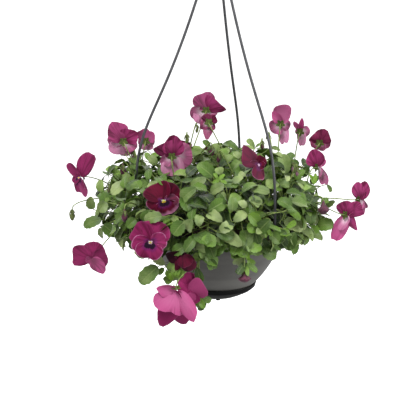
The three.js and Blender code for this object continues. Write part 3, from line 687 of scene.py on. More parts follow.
grown_leaf = blade_master("leaf_grown", 4, 12, oval(0.16, 0.06), 0.022)
spoon_leaf = blade_master("leaf_spoon", 4, 12, oval(-0.24, 0.05), 0.022)
young_leaf = blade_master("leaf_young", 2, 8, oval(0.1, 0.0), 0.05)
sepal = blade_master("sepal", 2, 6, oval(0.25, 0.0), 0.06)
NEARLY_NONE = 1e-6  # stands in for a bend of nothing, which can't be divided by


def turned_by(angle, across, lift):
    """A blade's places across and out of it, turned about its midrib."""
    cosine, sine = np.cos(angle), np.sin(angle)
    return across * cosine - lift * sine, across * sine + lift * cosine


def blade(master, root, along, facing, length, width, droop=0.5, fold=0.2, twist=0.0, wave=0.0):
    """A blade set on its root, bent down along its length, folded on its midrib and twisted."""
    along = unit(along)
    side = unit(np.cross(along, facing))
    out = np.cross(side, along)
    x, y, z = master["points"].T
    swing = droop * y + NEARLY_NONE
    ripple = wave * length * np.sin(y * 9 + 2 * np.sign(x)) * (2 * np.abs(x)) ** 2
    across = x * width
    lift = z * length + fold * np.abs(across) + ripple
    across, lift = turned_by(twist * y, across, lift)
    run = length * np.sin(swing) / (droop + NEARLY_NONE) + lift * np.sin(swing)
    drop = -length * (1 - np.cos(swing)) / (droop + NEARLY_NONE) + lift * np.cos(swing)
    return metres(root + run[:, None] * along + across[:, None] * side + drop[:, None] * out)


def stalk_line(start, end, arrival, thick, thin, steps):
    """A stalk that rises from its start and meets its end along the given direction."""
    span = np.linalg.norm(end - start)
    rise = start + (end - start) * 0.3 + UP * 0.12 * span
    neck = end - unit(arrival) * min(0.35 * span, 16)
    return np.c_[cubic([start, rise, neck, end], np.linspace(0, 1, steps)), np.linspace(thick, thin, steps)]


leaf_top = Finish("leaf_upper_face", Specular_IOR_Level=0.38, Sheen_Weight=0.3, Sheen_Roughness=0.35)
leaf_under = Finish("leaf_lower_face", Specular_IOR_Level=0.3)
# Each face's greens run from deep through mid to pale; on the upper face the pale grey-green is partly
# painted sheen and partly the leaves' own paler tone.
for finish, deep, mid, pale, rib, shine in (
    (leaf_top, paint(26, 48, 12), paint(80, 112, 36), paint(156, 172, 112), paint(138, 156, 90), 0.4),
    (leaf_under, paint(60, 86, 26), paint(96, 122, 46), paint(140, 158, 92), paint(146, 162, 96), 0.55),
):
    across, along = finish.across_along()
    from_rib = abs(across - 0.5)
    tone, young = finish.mark("tone"), finish.mark("kind")
    mottle = finish.noise(260, 3)
    patch = finish.noise(55, 2)
    row = finish.node("ShaderNodeMath", {"operation": "FRACT"}, {0: along * 7 - from_rib * 5 + patch * 0.4})
    side_vein = finish.step(abs(row - 0.5), 0.4, 0.5) * (1 - finish.step(from_rib, 0.3, 0.5))
    midrib = 1 - finish.step(from_rib, 0.015, 0.06)
    # The tone mark holds each leaf's own tone with the cushion's painted light and shade laid on it.
    shade = tone * 0.85 + patch * 0.4 + mottle * 0.15 - 0.2
    blade_green = finish.mix(finish.step(shade, 0.1, 0.55), deep, mid)
    blade_green = finish.mix(finish.step(shade, 0.55, 1.0), blade_green, pale)
    # Darker towards the stalk: painted shade where the leaves overlap one another.
    blade_green = finish.mix((1 - finish.step(along, 0.05, 0.75)) * 0.45, blade_green, deep)
    blade_green = finish.mix(young, blade_green, paint(112, 152, 36))
    blade_green = finish.mix(side_vein * 0.25, blade_green, rib)
    finish.set("Base Color", finish.mix(midrib * 0.35, blade_green, rib))
    finish.set("Roughness", shine + 0.15 * mottle)
    finish.bump(mottle * 0.3 - side_vein * 0.6 - midrib * 0.8, 0.0006, 0.7)

stem_green = Finish("stem_green", Roughness=0.5, Specular_IOR_Level=0.4)
fibre = stem_green.noise(300, 2, stem_green.drawn_out(0.2))
stem_green.two_tone(fibre, 0.35, 0.65, paint(88, 112, 46), paint(132, 148, 80))
stem_green.bump(fibre, 0.0004, 0.5)

sepal_green = Finish("sepal_green", Roughness=0.55, Specular_IOR_Level=0.35)
sepal_mottle = sepal_green.noise(500, 3)
sepal_green.two_tone(sepal_mottle, 0.35, 0.65, paint(56, 66, 28), paint(92, 104, 50))
sepal_green.bump(sepal_mottle, 0.0004, 0.5)

# Blooms are listed here because their stalks and sepals grow on the stems: the middle of
# the face, the way it faces (turn and rise in degrees), the colour, and the petals from the
# back layer to the front. A petal is its tip's place from the middle and its width, then its
# own facing where it is turned. A width alone means an open, even bloom, and the last four
# such blooms are the ones behind.
BLOOMS = [
    ((-16, 35, 153), (95, 5), "magenta", [
        (-6, -6, 25, 32), (15, -5, 18, 32), (-21, 3, -12, 26), (16, 3, -9, 18), (-10, 4, -23, 26)]),
    ((-11, 10, 139), (85, -5), "wine", [
        (-7, -2, 14, 13), (12, -2, 9, 12), (-13, 2, -8, 12), (7, 2, -12, 10), (-3, 3, -23, 13)]),
    ((-136, 10, 111), (100, 0), "magenta", [
        (-13, -6, 26, 29), (16, -4, 15, 26), (-23, 2, 1, 20), (20, 3, -9, 22), (-5, 5, -23, 36)]),
    ((-104, 45, 105), (85, 0), "magenta", [
        (-8, -4, 19, 19), (12, -4, 13, 19), (-12, 1, -2, 15), (13, 1, -2, 15), (0, 4, -16, 19)]),
    ((-63, -45, 101), (85, 5), "magenta", [
        (-14, -8, 20, 36), (3, -7, 31, 27), (-16, 3, -13, 17), (28, 3, -1, 37), (5, 4, -31, 32)]),
    ((-195, -35, 68), (200, 0), "magenta", [
        (11, -6, 35, 21, 258, 5), (-19, 5, 18, 14, 230, 0), (9, -5, -28, 9, 250, 0), (-12, 6, -9, 11, 210, 0),
        (-1, 2, -24, 19, 245, 0)]),
    ((-73, -125, 55), (-90, 10), "wine", [
        (12, 6, 23, 34), (-13, 7, 24, 35), (21, -1, 0, 16), (-23, 0, -6, 20), (6, -4, -19, 31)]),
    ((-90, -150, 4), (-100, 5), "magenta", [
        (12, 6, 26, 36), (-23, 6, 21, 31), (23, -1, 3, 23), (-27, -1, -5, 22), (-4, -5, -24, 38)]),
    ((-177, -80, -40), (-95, 5), "magenta", [
        (8, 4, 22, 30), (-30, 3, 9, 27), (23, 0, -1, 28), (-8, -1, -4, 10), (18, -3, -17, 20, 85, 0)]),
    ((-47, -151, -14), (-85, -5), "wine", [
        (-24, 2, -6, 18), (-5, 2, -13, 16), (13, 0, -24, 20), (-10, 0, -23, 9), (6, -3, -16, 19)]),
    ((-56, -158, -63), (90, -75), "magenta", [
        (-18, 12, -55, 30, -90, 10), (8, 12, -57, 33, -90, 10), (-23, -1, 4, 20, 90, 0),
        (27, -3, -36, 20, 90, 0), (-9, -10, -29, 51, 90, 10)]),
    ((-40, -145, -69), (-70, -5), "magenta", [
        (6, 3, 27, 31), (25, 2, 5, 31), (14, 0, -16, 15), (-11, 0, 16, 19), (5, -3, -13, 14)]),
    ((57, -80, 96), (-60, 5), "wine", [
        (9, 4, 10, 15), (-20, 5, 18, 25), (9, -1, -2, 11), (-13, -1, 1, 11), (0, -4, -23, 18)]),
    ((94, 30, 134), (80, 5), "magenta", [
        (2, -6, 31, 25), (-13, -6, 18, 12), (-14, 3, -12, 22), (13, 2, -6, 16), (7, 3, -33, 15)]),
    ((125, 58, 117), (75, 5), "magenta", [
        (2, -2, 19, 7), (-11, -2, 16, 7), (-8, 1, -3, 10), (13, 1, -3, 18), (3, 3, -24, 13)]),
    ((151, 25, 107), (80, 10), "wine", [
        (-11, -4, 13, 19), (10, -4, 17, 25), (-15, 1, -2, 16), (16, 1, -3, 19), (-2, 3, -14, 19)]),
    ((147, -8, 77), (35, 0), "magenta", [
        (-9, -2, 26, 25, 90, 5), (10, 8, 10, 9, 45, 0), (10, 4, -14, 10, 45, 0), (4, -4, -15, 9, 40, 0),
        (10, 0, -28, 12, 50, 0)]),
    ((207, -25, 33), (30, 0), "magenta", [
        (11, 4, 24, 19, 60, 0), (-7, -3, 26, 17, 85, 0), (9, 4, -13, 9, 60, 0), (-1, -3, -16, 9, 70, 0),
        (3, 1, -23, 10, 50, 0)]),
    ((184, -62, 19), (40, -10), "magenta", [
        (20, 4, 15, 23, 70, 20), (-5, -2, 22, 25, 80, 20), (15, 4, -22, 13, -60, 0),
        (-10, -4, -22, 13, 60, 0), (-20, -2, -35, 21, 95, 0)]),
    ((-60, 140, 62), (105, 10), "magenta", 54),
    ((72, 158, 26), (66, 8), "wine", 56),
    ((-150, 108, 12), (140, 0), "magenta", 54),
    ((0, 125, 62), (70, 15), "magenta", 52),
]
BACK_BLOOMS = BLOOMS[19:]

# Shy blooms hide their throats. A petal's mark says how it is coloured: 0 for an upper one,
# 0.2 for a plain one, 0.5 for a side one, 1 for a lower one, and -1 for one painted nearly
# black, with the marks between 0 and -1 for one darkened part of the way.
SHY_BLOOMS = {6, 9, 10, 11, 12, 13}
USUAL_MARKS = (0, 0, 0.5, 0.5, 1)
PETAL_MARKS = {
    4: (0.2, 0.2, 0.5, 0.5, 1), 9: (0, 0, 0, 0, 0), 10: (-1, -0.5, -0.5, -0.5, -0.45),
    11: (0.2, 0.2, 0.2, 0.2, 0.2), 12: (0.2, 0.2, 0.2, 0.2, 0.2), 13: (0, 0, 0.5, 0.5, 0.5),
    14: (0.2, 0.2, 0.5, 0.5, 1), 17: (0, 0.2, 0.5, 0.5, 0.5), 19: (0, 0, 0.5, 0.5, 0.2),
}

# Buds: where each hangs, its size, how ripe it is, from green through furled to faded, and
# how far its mouth flares where it is half open.
BUDS = [
    ((37, -140, -46), 1.25, 0.7, 1.4), ((150, -64, 33), 1.5, 0.7, 0.8), ((-207, -40, 17), 1.3, 0.15, 0),
    ((-127, -120, 36), 1.35, 0.6, 0), ((2, -52, 102), 1.0, 0.7, 0), ((112, -64, 84), 0.8, 0.9, 0),
    ((70, 100, 90), 1.0, 0.4, 0), ((-20, 160, -20), 1.0, 0.4, 0), ((-121, 16, 90), 1.25, 0.7, 0),
    ((-135, -14, 77), 1.4, 0.7, 0), ((-7, -18, 106), 1.15, 0.7, 0), ((17, 5, 98), 0.8, 0.7, 0),
    ((110, -10, 79), 1.0, 0.95, 0), ((-154, -40, 55), 0.9, 0.3, 0), ((-128, -80, 0), 1.1, 0.85, 0),
    ((76, 25, 114), 0.75, 0.0, 0), ((-43, 15, 116), 0.9, 0.15, 0), ((-29, 25, 128), 0.7, 0.1, 0),
]


def bloom_frame(bloom):
    """The middle of a bloom's face, and its facing, top and side directions."""
    facing = direction(*bloom[1])
    level = unit(np.cross(UP, facing))
    top = np.cross(facing, level)
    return np.array(bloom[0], float), facing, top, np.cross(top, facing)


def carrier(place):
    """The stem whose flower stalks start nearest to a place."""
    return int(np.argmin([np.linalg.norm(line[STALK_STEP] - place) for line in stems]))


bpy.ops.object.select_all(action="DESELECT")
bpy.ops.mesh.primitive_uv_sphere_add(segments=10, ring_count=9, radius=1)
bud_piece = bpy.context.object
for vertex in bud_piece.data.vertices:
    x, y, z = vertex.co
    swirl = 2.2 * (z + 1)
    furl = 1 + 0.16 * math.sin(3 * math.atan2(y, x) + swirl)
    narrow = 0.62 + 0.38 * z if z < 0 else 1 - 0.25 * z
    vertex.co = (x * narrow * furl, y * narrow * furl, z)
bud_body = taken_off(bud_piece)

bud_petal = Finish("bud_furled_petals", Roughness=0.6, Sheen_Weight=0.2)
furl_lines = bud_petal.noise(700, 3, bud_petal.drawn_out(0.25))
ripeness = bud_petal.mark("tone")
furled = bud_petal.mix(bud_petal.step(furl_lines, 0.35, 0.65), paint(48, 12, 30), paint(98, 26, 58))
furled = bud_petal.mix(bud_petal.step(ripeness, 0.2, 0.45), paint(100, 112, 56), furled)
bud_petal.set("Base Color", bud_petal.mix(bud_petal.step(ripeness, 0.85, 1.0), furled, paint(196, 150, 176)))
bud_petal.bump(furl_lines, 0.0005, 0.6)

# The cushion's leaves are spread evenly over four nested domes, each grown from the stem
# that is nearest to it. The cushion is fuller on one side and falls furthest in front.
# Each dome's row is its size, how many leaves it has, how large they are and how light
# they are painted: the inner domes darker, as painted shade deep in the cushion.
DOMES = ((1.0, 430, 1.0, 1.0), (0.9, 400, 0.95, 0.6), (0.78, 300, 0.95, 0.25), (0.62, 230, 1.0, 0.1))
CUSHION_RADIUS, CUSHION_MIDDLE, CUSHION_CROWN, CUSHION_HANG = 154, 2, 98, 26
LEAF_JITTER = 8
BARE_STEPS = 12  # the steps at the foot of a stem that carry no leaves
VIEWER = np.array((-13, -1844, 474.0))  # the place from which the front blooms stay in sight
FRONT_GAP, BACK_GAP = 25, 27  # how far leaves keep from the blooms in front and behind
front_blooms = [np.array(bloom[0], float) for bloom in BLOOMS[:19]]
arm_feet = [cylindrical(ARM_CIRCLE, turn, 0) for turn in ARM_TURNS]
foliage = [[] for _ in stems]
petioles = [[] for _ in stems]


def outward_at(x, y, z, middle=-34):
    """The way out of the cushion at a place, a little steeper than straight from its middle."""
    return unit((x, y, 1.6 * (z - middle)))


def cushion(turn, rise, dome):
    """A place on a dome of leaves."""
    left, right = max(0.0, -math.cos(turn)), max(0.0, math.cos(turn))
    front = max(0.0, -math.sin(turn))
    reach = dome * (CUSHION_RADIUS + 14 * left)
    block = 0.8 - 0.18 * left
    level, lift = math.sqrt(1 - rise * rise), abs(rise)
    if rise > 0:
        return cylindrical(reach * level**block, turn, CUSHION_MIDDLE + CUSHION_CROWN * dome * lift**block)
    hang = CUSHION_HANG - 6 * left - 12 * right + 12 * front * (1 - right)
    return cylindrical(reach * level**0.5, turn, CUSHION_MIDDLE - hang * lift)


def grows(root, along, facing, length, width, tone, young, outward):
    """Hangs a leaf and its stalk on the stem that is nearest to it."""
    distances = [np.linalg.norm(line[BARE_STEPS:] - root, axis=1) for line in stems]
    stem = int(np.argmin([np.min(distance) for distance in distances]))
    near = BARE_STEPS + int(np.argmin(distances[stem]))
    foliage[stem].append((root, along, facing, length, width, tone, young))
    petioles[stem].append((stems[stem][max(8, near - 3)], root, unit(unit(along) * 0.6 + outward)))


def hides_bloom(place):
    """Does a leaf stand between a bloom and someone who looks at the basket from the front?"""
    for centre in front_blooms:
        toward = unit(VIEWER - centre)
        depth = (place - centre) @ toward
        if depth > -3 and np.linalg.norm(place - centre - depth * toward) < FRONT_GAP:
            return True
    return False


def no_leaf(place, dome, roll):
    """Is this a place that the bowl, an arm, a bloom or a gap in the cushion keeps bare?"""
    x, y, z = place
    beside = x - arm_feet[0][0] + 5
    return (
        (z < 10 and math.hypot(x, y) < 124)  # inside the bowl
        or (z < -10 and abs(x - 2) < 22 and y < 0)  # the gap between the trailing stems
        or (dome < 0.85 and x < -85 and roll > 0.55)  # the inner domes thin out at one side
        or (y > 40 and z + 0.27 * y > 110 and 20 < x < 60)  # the dip behind the crown
        or (abs(beside) < 13 and y < arm_feet[0][1] + 6 and -6 < z < 112)  # before the front arm
        or any(math.hypot(x - foot[0], y - foot[1]) < 9 for foot in arm_feet)
        or hides_bloom(place)
    )


def painted_leaf_light(place, light, share):
    """A leaf's tone, with painted light and shade: darker in the inner domes and among the front blooms,
    lighter to the sides and under the rim.
    """
    x, y, z = place
    front = y < 0
    # Painted shade among the front blooms, the inner domes' painted shade eased towards the sides, and
    # painted light under the rim in front.
    shade = 0.55 * math.exp(-(((x + 4) / 62) ** 2 + ((z - 28) / 42) ** 2)) if front else 0
    light += (1 - light) * 0.6 * min(1.0, abs(x) / 150) ** 2
    return share * light * (1 - shade) + (0.22 if z < 12 and front else 0)


# Leaves that stand out of the cushion, each from where its stalk ends to its tip, with its
# width, its tone, which is partly painted light and shade, and how young it is.
PROUD_LEAVES = [
    (-179, -20, 17, -185, -18, 35, 15, 0.9, 0.3), (-165, -40, 7, -197, -42, 1, 17, 0.7, 0),
    (-165, -50, -3, -169, -52, -21, 11, 0.8, 0), (-161, -62, 5, -141, -64, -11, 18, 0.5, 0),
    (-158, -45, 21, -161, -43, 48, 19, 0.5, 0), (-167, -30, 45, -168, -28, 63, 12, 1, 0.4),
    (-149, -20, 71, -159, -18, 80, 9, 0.9, 0.6), (-149, -20, 69, -144, -18, 81, 9, 0.9, 0.6),
    (-149, -25, 70, -138, -23, 76, 9, 0.8, 0.5), (-140, -50, 42, -140, -48, 62, 11, 0.7, 0),
    (-107, -80, 40, -129, -78, 40, 10, 0.8, 0), (-169, -35, 6, -172, -33, 21, 9, 0.8, 0),
    (-75, -140, 37, -101, -142, 36, 16, 0.8, 0), (-120, -100, 64, -109, -98, 72, 11, 0.7, 0),
    (-129, -98, 30, -144, -100, 20, 12, 0.6, 0), (-97, 10, 83, -104, 12, 95, 9, 0.7, 0.45),
    (-97, 10, 83, -87, 12, 96, 9, 0.7, 0.45), (-108, -10, 70, -121, -8, 87, 12, 0.9, 0.4),
    (34, 2, 100, 53, -2, 108, 9, 0.9, 0.2), (55, 25, 98, 46, 27, 112, 9, 0.8, 0.1),
    (57, 25, 99, 66, 27, 107, 4, 0.8, 0.2), (31, 15, 96, 10, 17, 112, 15, 0.2, 0.2),
    (-11, 20, 101, -19, 22, 112, 10, 0.5, 0), (4, -96, 85, 2, -94, 95, 12, 0.9, 0.1),
    (-6, -96, 82, -26, -94, 101, 20, 0.6, 0), (-42, -94, 84, -29, -92, 99, 14, 0.1, 0),
    (78, 20, 99, 97, 22, 99, 9, 0.8, 0), (99, -20, 69, 95, -18, 98, 18, 0.8, 0),
    (-41, -12, 94, -21, -10, 108, 13, 0.7, 0), (33, -32, 95, 24, -30, 105, 10, 0.9, 0),
    (39, -100, 84, 29, -98, 89, 8, 0.9, 0), (21, -112, 77, 35, -110, 88, 10, 0.8, 0),
    (166, -58, 4, 139, -56, 4, 20, 0.7, 0.3), (131, -60, -6, 154, -62, -15, 14, 0.8, 0.1),
    (93, -95, 19, 121, -97, 7, 17, 0.9, 0), (108, -100, 4, 94, -102, -22, 20, 0.6, 0),
    (123, -70, 32, 116, -68, 58, 15, 0.7, 0), (75, -125, 25, 58, -127, 14, 18, 0.2, 0.1),
    (160, 0, 49, 169, -2, 39, 7, 0.7, 0.2), (149, -35, 31, 163, -33, 36, 9, 0.5, 0.2),
    (122, -35, 50, 145, -33, 55, 14, 0.3, 0), (132, -60, 5, 135, -58, 33, 18, 0.5, 0.1),
    (117, -70, -2, 124, -72, -14, 10, 0.3, 0), (140, -15, 53, 144, -13, 69, 6, 0.4, 0.9),
    (140, -15, 53, 136, -13, 68, 6, 0.4, 0.9), (62, -122, -17, 86, -124, -22, 20, 0.65, 0),
    (85, -10, 80, 79, -8, 99, 10, 0.6, 0), (103, -50, 60, 91, -48, 71, 11, 0.8, 0),
    (101, -116, 43, 84, -114, 58, 15, 0.5, 0), (114, -114, 25, 100, -112, 42, 11, 0.5, 0.3),
    (-30, -152, -2, -5, -154, -3, 16, 0.9, 0), (1, -148, 10, -6, -150, -5, 14, 0.8, 0),
    (-19, -150, -20, 2, -152, -24, 14, 0.6, 0.1), (-17, -152, -14, -8, -154, -25, 8, 0.7, 0),
    (-28, -138, -36, -22, -140, -57, 12, 0.3, 0), (-81, -140, -34, -110, -142, -58, 22, 0.72, 0),
    (-72, -142, -31, -88, -140, -18, 13, 1, 0), (-59, -140, -49, -74, -142, -54, 12, 0.4, 0.3),
    (-70, -142, -39, -59, -144, -53, 10, 0.5, 0.4), (-73, -140, -36, -82, -142, -45, 8, 0.4, 0.2),
    (-20, -120, -84, -24, -122, -105, 13, 0.3, 0), (35, -132, -18, 24, -134, -38, 16, 0.85, 0.1),
    (42, -130, -25, 51, -132, -39, 12, 0.5, 0.6), (40, -140, -12, 40, -138, 20, 19, 0.7, 0),
    (33, -152, -1, 7, -150, 19, 18, 0.9, 0), (4, -158, 20, 21, -156, 35, 15, 0.9, 0),
    (22, -152, 33, 39, -150, 48, 14, 0.9, 0), (6, -156, 34, -14, -154, 49, 15, 0.9, 0),
    (-34, -158, 37, -45, -160, 22, 17, 0.8, 0), (-25, -158, 28, -25, -156, 44, 13, 0.8, 0),
    (-46, -156, 33, -61, -158, 16, 20, 0.6, 0), (-44, -160, -7, -27, -158, 19, 15, 0.6, 0),
    (-45, -150, -3, -63, -152, -11, 17, 0.6, 0), (-28, -138, 76, -56, -140, 61, 18, 0.7, 0),
    (-15, -122, 86, -37, -124, 74, 15, 0.8, 0), (9, -130, 78, -15, -132, 70, 14, 0.8, 0),
    (20, -146, 46, 21, -144, 65, 14, 0.7, 0), (38, -144, 50, 29, -142, 62, 11, 0.9, 0),
    (6, -144, 52, 2, -142, 69, 13, 0.3, 0), (42, -148, 42, 60, -150, 28, 16, 0.2, 0.5),
    (71, -146, 34, 53, -148, 17, 18, 0.2, 0.1), (71, -120, 65, 44, -118, 77, 14, 0.8, 0),
    (60, -136, 53, 43, -134, 64, 12, 0.8, 0), (1, -108, 80, -4, -106, 91, 5, 0.4, 0.7),
    (2, -110, 81, 10, -108, 90, 5, 0.4, 0.8), (2, -120, 82, -7, -124, 81, 5, 0.4, 0.6),
    (4, -120, 82, 13, -124, 81, 5, 0.4, 0.7), (41, -135, -14, 56, -133, -4, 7, 0.5, 0.8),
    (41, -135, -12, 27, -137, -22, 7, 0.5, 0.8), (41, -136, -13, 43, -138, -28, 5, 0.5, 0.9),
    (95, -122, 16, 108, -120, 25, 8, 0.4, 0.7), (95, -118, 10, 74, -124, 0, 17, 0.4, 0),
    (72, -122, 8, 88, -126, -4, 15, 0.6, 0.1), (60, -126, 0, 71, -130, -18, 14, 0.3, 0),
    (96, -112, -2, 82, -118, -14, 15, 0.2, 0), (104, -96, -8, 112, -100, -30, 14, 0.5, 0.1),
    (-150, 80, 14, -160, 78, 34, 19, 0.5, 0), (-142, 82, 22, -130, 80, 42, 18, 0.6, 0.1),
    (-160, 76, -6, -152, 74, 16, 19, 0.4, 0), (-166, 70, 10, -180, 68, 24, 15, 0.6, 0),
    (14, 25, 60, 28, 24, 78, 20, 0.4, 0), (36, 30, 60, 22, 28, 78, 18, 0.5, 0),
    (42, 20, 68, 50, 18, 88, 15, 0.6, 0.1), (10, 60, 54, 24, 58, 76, 22, 0.3, 0),
    (34, 70, 52, 42, 68, 74, 20, 0.4, 0), (-8, 40, 66, 4, 38, 86, 18, 0.4, 0),
    (20, -50, 78, 30, -52, 96, 14, 0.6, 0), (-20, 8, 92, -32, 6, 106, 12, 0.8, 0.2),
    (-8, 6, 92, 0, 4, 108, 11, 0.7, 0.3), (6, 0, 90, 16, -2, 104, 12, 0.8, 0.2),
    (2, -12, 96, -4, -14, 112, 12, 0.8, 0.1), (14, -14, 92, 8, -16, 106, 12, 0.7, 0.3),
    (12, -20, 84, 20, -22, 98, 13, 0.8, 0.1), (22, -26, 76, 16, -28, 90, 13, 0.7, 0),
    (28, 0, 84, 22, 0, 98, 12, 0.6, 0.2), (-30, 0, 84, -22, -2, 98, 12, 0.8, 0.1),
    (-18, -30, 78, -10, -32, 92, 13, 0.6, 0.3), (30, -20, 76, 40, -22, 86, 13, 0.8, 0),
    (-2, -34, 76, -14, -36, 88, 14, 0.8, 0), (-100, 0, 70, -118, -2, 84, 15, 0.8, 0),
    (-112, -5, 64, -128, -6, 76, 13, 0.7, 0.2), (-88, 0, 78, -98, 0, 94, 13, 0.8, 0.1),
    (-122, -20, 58, -138, -20, 70, 13, 0.8, 0.1), (-142, 78, 32, -153, 76, 50, 18, 0.6, 0),
    (-166, 70, 6, -160, 68, 26, 16, 0.5, 0), (-92, -128, 42, -102, -130, 28, 15, 0.6, 0),
    (-52, -146, -34, -62, -148, -46, 12, 0.7, 0.5), (-10, -150, -20, -4, -152, -37, 14, 0.6, 0),
    (-58, -144, -26, -67, -146, -43, 14, 0.8, 0.4), (-50, -145, -32, -53, -147, -50, 13, 0.8, 0.6),
    (-63, -146, -40, -57, -148, -56, 12, 0.6, 0.6), (118, 0, 62, 108, 4, 82, 12, 0.5, 0),
    (126, 10, 58, 134, 12, 76, 12, 0.3, 0.1), (100, 20, 78, 112, 20, 92, 12, 0.4, 0),
    (138, 20, 46, 150, 20, 58, 11, 0.4, 0), (112, -30, 64, 124, -32, 78, 12, 0.6, 0.2),
]
for x0, y0, z0, x1, y1, z1, width, tone, young in PROUD_LEAVES:
    root, tip = np.array((x0, y0, z0), float), np.array((x1, y1, z1), float)
    outward = outward_at(x0, y0, max(z0, -34))
    facing = outward * 0.5 + (0, -0.8, 0.4)
    grows(root, tip - root, facing, np.linalg.norm(tip - root), width, tone, young, outward)

chance = np.random.default_rng(29)
for dome, number, size, light in DOMES:
    for k in range(number):
        rise = 0.995 - 1.7 * (k + 0.5) / number
        turn = k * GOLDEN + dome * 9 + 0.15 * chance.normal()
        place = cushion(turn, rise, dome)
        outward = outward_at(*place)
        place = place + outward * LEAF_JITTER * chance.normal()
        roll, tip_up, size_draw, tone_draw = chance.random(4)
        tilt = chance.normal(size=3)
        if no_leaf(place, dome, roll):
            continue
        downhill = unit((place[0], place[1], 0))
        if abs(outward[2]) < 0.98:
            downhill = unit(np.cross(np.cross(outward, -UP), outward))
        sideways = np.cross(outward, downhill)
        spin = (roll - 0.5) * 4.4
        along = downhill * math.cos(spin) + sideways * math.sin(spin) + outward * (0.05 + 0.8 * tip_up)
        facing = outward + UP * 0.5 + 0.4 * tilt
        root = place - outward * 6 - unit(along) * 8
        length = size * (15 + 11 * size_draw)
        width = length * (0.66 + 0.2 * chance.random())
        fresh = 0.6 - 0.45 * size_draw if roll < 0.35 else 0.0
        if all(np.linalg.norm(place - bloom[0]) > BACK_GAP for bloom in BACK_BLOOMS):
            # The leaf's own random tone with painted light and shade laid on it.
            tone = painted_leaf_light(place, light, tone_draw)
            grows(root, along, facing, length, width, tone, fresh, outward)

def clothed(i, rods, parts):
    """A stem's own leaves, with their stalks, and the tuft of young leaves at its tip."""
    line = stems[i]
    for k, (root, along, facing, length, width, tone, young) in enumerate(foliage[i]):
        master = spoon_leaf if draw(i, k, 6) < 0.4 else grown_leaf
        droop = 0.25 + 0.9 * draw(i, k, 7)
        fold = 0.12 + 0.45 * draw(i, k, 8)
        twist = 0.8 * (draw(i, k, 9) - 0.5)
        places = blade(master, root, along, facing, length, width, droop, fold, twist, 0.03)
        parts.append((master, places, LEAF_SLOT, tone, young))
        rods.append(stalk_line(*petioles[i][k], *LEAF_STALK, 6))
    tip = line[-1]
    grow = unit(tip - line[-4])
    outward = outward_at(*tip, middle=-30)
    level = unit(np.cross(grow, outward))
    other = np.cross(grow, level)
    for k in range(TUFT_LEAVES):
        turn = k * GOLDEN + 6 * draw(i, 0, 1)
        splay = 0.35 + 0.14 * k
        spread = (level * math.cos(turn) + other * math.sin(turn)) * math.sin(splay)
        along = grow * math.cos(splay) + spread + outward * 0.3
        root = tip - grow * (0.5 + 1.2 * k)
        length = 10 + 2.4 * k
        master = young_leaf if k < 4 else spoon_leaf
        places = blade(master, root, along, outward + UP * 0.6, length, length * 0.42, 0.5, 0.3, 0.3)
        parts.append((master, places, LEAF_SLOT, draw(i, k, 10), max(0.0, 0.9 - 0.15 * k)))


def flowering(i, rods, parts):
    """The flower stalks that leave a stem, each with the calyx of its bloom or its bud."""
    start = stems[i][STALK_STEP]
    for bloom in BLOOMS:
        if carrier(bloom[0]) != i:
            continue
        centre, facing, top, side = bloom_frame(bloom)
        rods.append(stalk_line(start, centre - facing * 5.6, facing, *BLOOM_STALK, 22))
        for angle in np.radians((36, 108, 180, 252, 324)):
            spoke = top * math.cos(angle) + side * math.sin(angle)
            root = centre - facing * 4.6 + spoke * 0.3
            places = blade(sepal, root, spoke + facing * 0.05, -facing, 6.8, 5.0, -0.4, 0.1)
            parts.append((sepal, places, SEPAL_SLOT, *UNMARKED))
    for bud, plump, ripe, flare in BUDS:
        if carrier(bud) != i:
            continue
        bud = np.array(bud, float)
        rods.append(stalk_line(start, bud + (0, 0, 5), -UP, *BUD_STALK, 18))
        body = bud_body["points"] * (BUD_GIRTH * plump, BUD_GIRTH * plump, -BUD_LENGTH * plump)
        mouth = np.clip(0.8 + 0.4 * bud_body["points"][:, 2:], 0, 1)
        body = body * (1 + flare * mouth * (1, 1, -0.1)) + bud + (0, 0, -2.5)
        parts.append((bud_body, metres(body), BUD_SLOT, ripe, 0.0))
        for angle in np.radians((0, 72, 144, 216, 288)):
            spoke = cylindrical(1, angle, 0)
            root = bud + (0, 0, 4.5) + spoke * 0.8
            length = 5 if flare else 9
            places = blade(sepal, root, spoke * 0.75 - UP, spoke, length, 3.6, 0.35, 0.2)
            parts.append((sepal, places, SEPAL_SLOT, *UNMARKED))


green_finishes = [leaf_top, leaf_under, stem_green, sepal_green, bud_petal]
for i, line in enumerate(stems):
    rods = [np.c_[line, np.linspace(*STEM_RADII, STEM_STEPS + 1)]]
    parts = []
    clothed(i, rods, parts)
    flowering(i, rods, parts)
    sticks = taken_off(rod("sticks", rods, 3))
    sticks["slots"][:] = 0
    parts.append((sticks, sticks["points"], STEM_SLOT, *UNMARKED))
    shoot = laid_up(f"leafy_shoot_{i + 1:02d}", parts, green_finishes)
    fitted(shoot, "leaf", None, f"leafy_stem_{i + 1:02d}")

# ---- Blooms -------------------------------------------------------------------------
# Pansy flowers of five thin petals in layers: two broad upper ones behind, two at the
# sides, and a notched lower one in front. Their faces are magenta or wine with a dark
# blotch and a yellow eye, and their backs pale to pink towards the lower petals.

petal_grid = blade_master("petal", 16, 9, lambda along, across: (across, along**0.85), 1.0)

# An open, even bloom's petals: turn from the top of the face, length and width as parts of
# the bloom's width, and lean forward.
EVEN_PETALS = [
    (27, 0.56, 0.56, -14), (-27, 0.56, 0.56, -10), (84, 0.47, 0.44, 6), (-84, 0.47, 0.44, 6),
    (180, 0.44, 0.62, 12),
]
PETAL_LAYERS = (-1.4, -0.2, 0.9, 0.9, 2.0)
PETAL_TAPERS = (1.25, 1.25, 0.9, 0.9, 0.75)
PETAL_SLOT, STIGMA_SLOT, BEARD_SLOT = 0, 2, 3
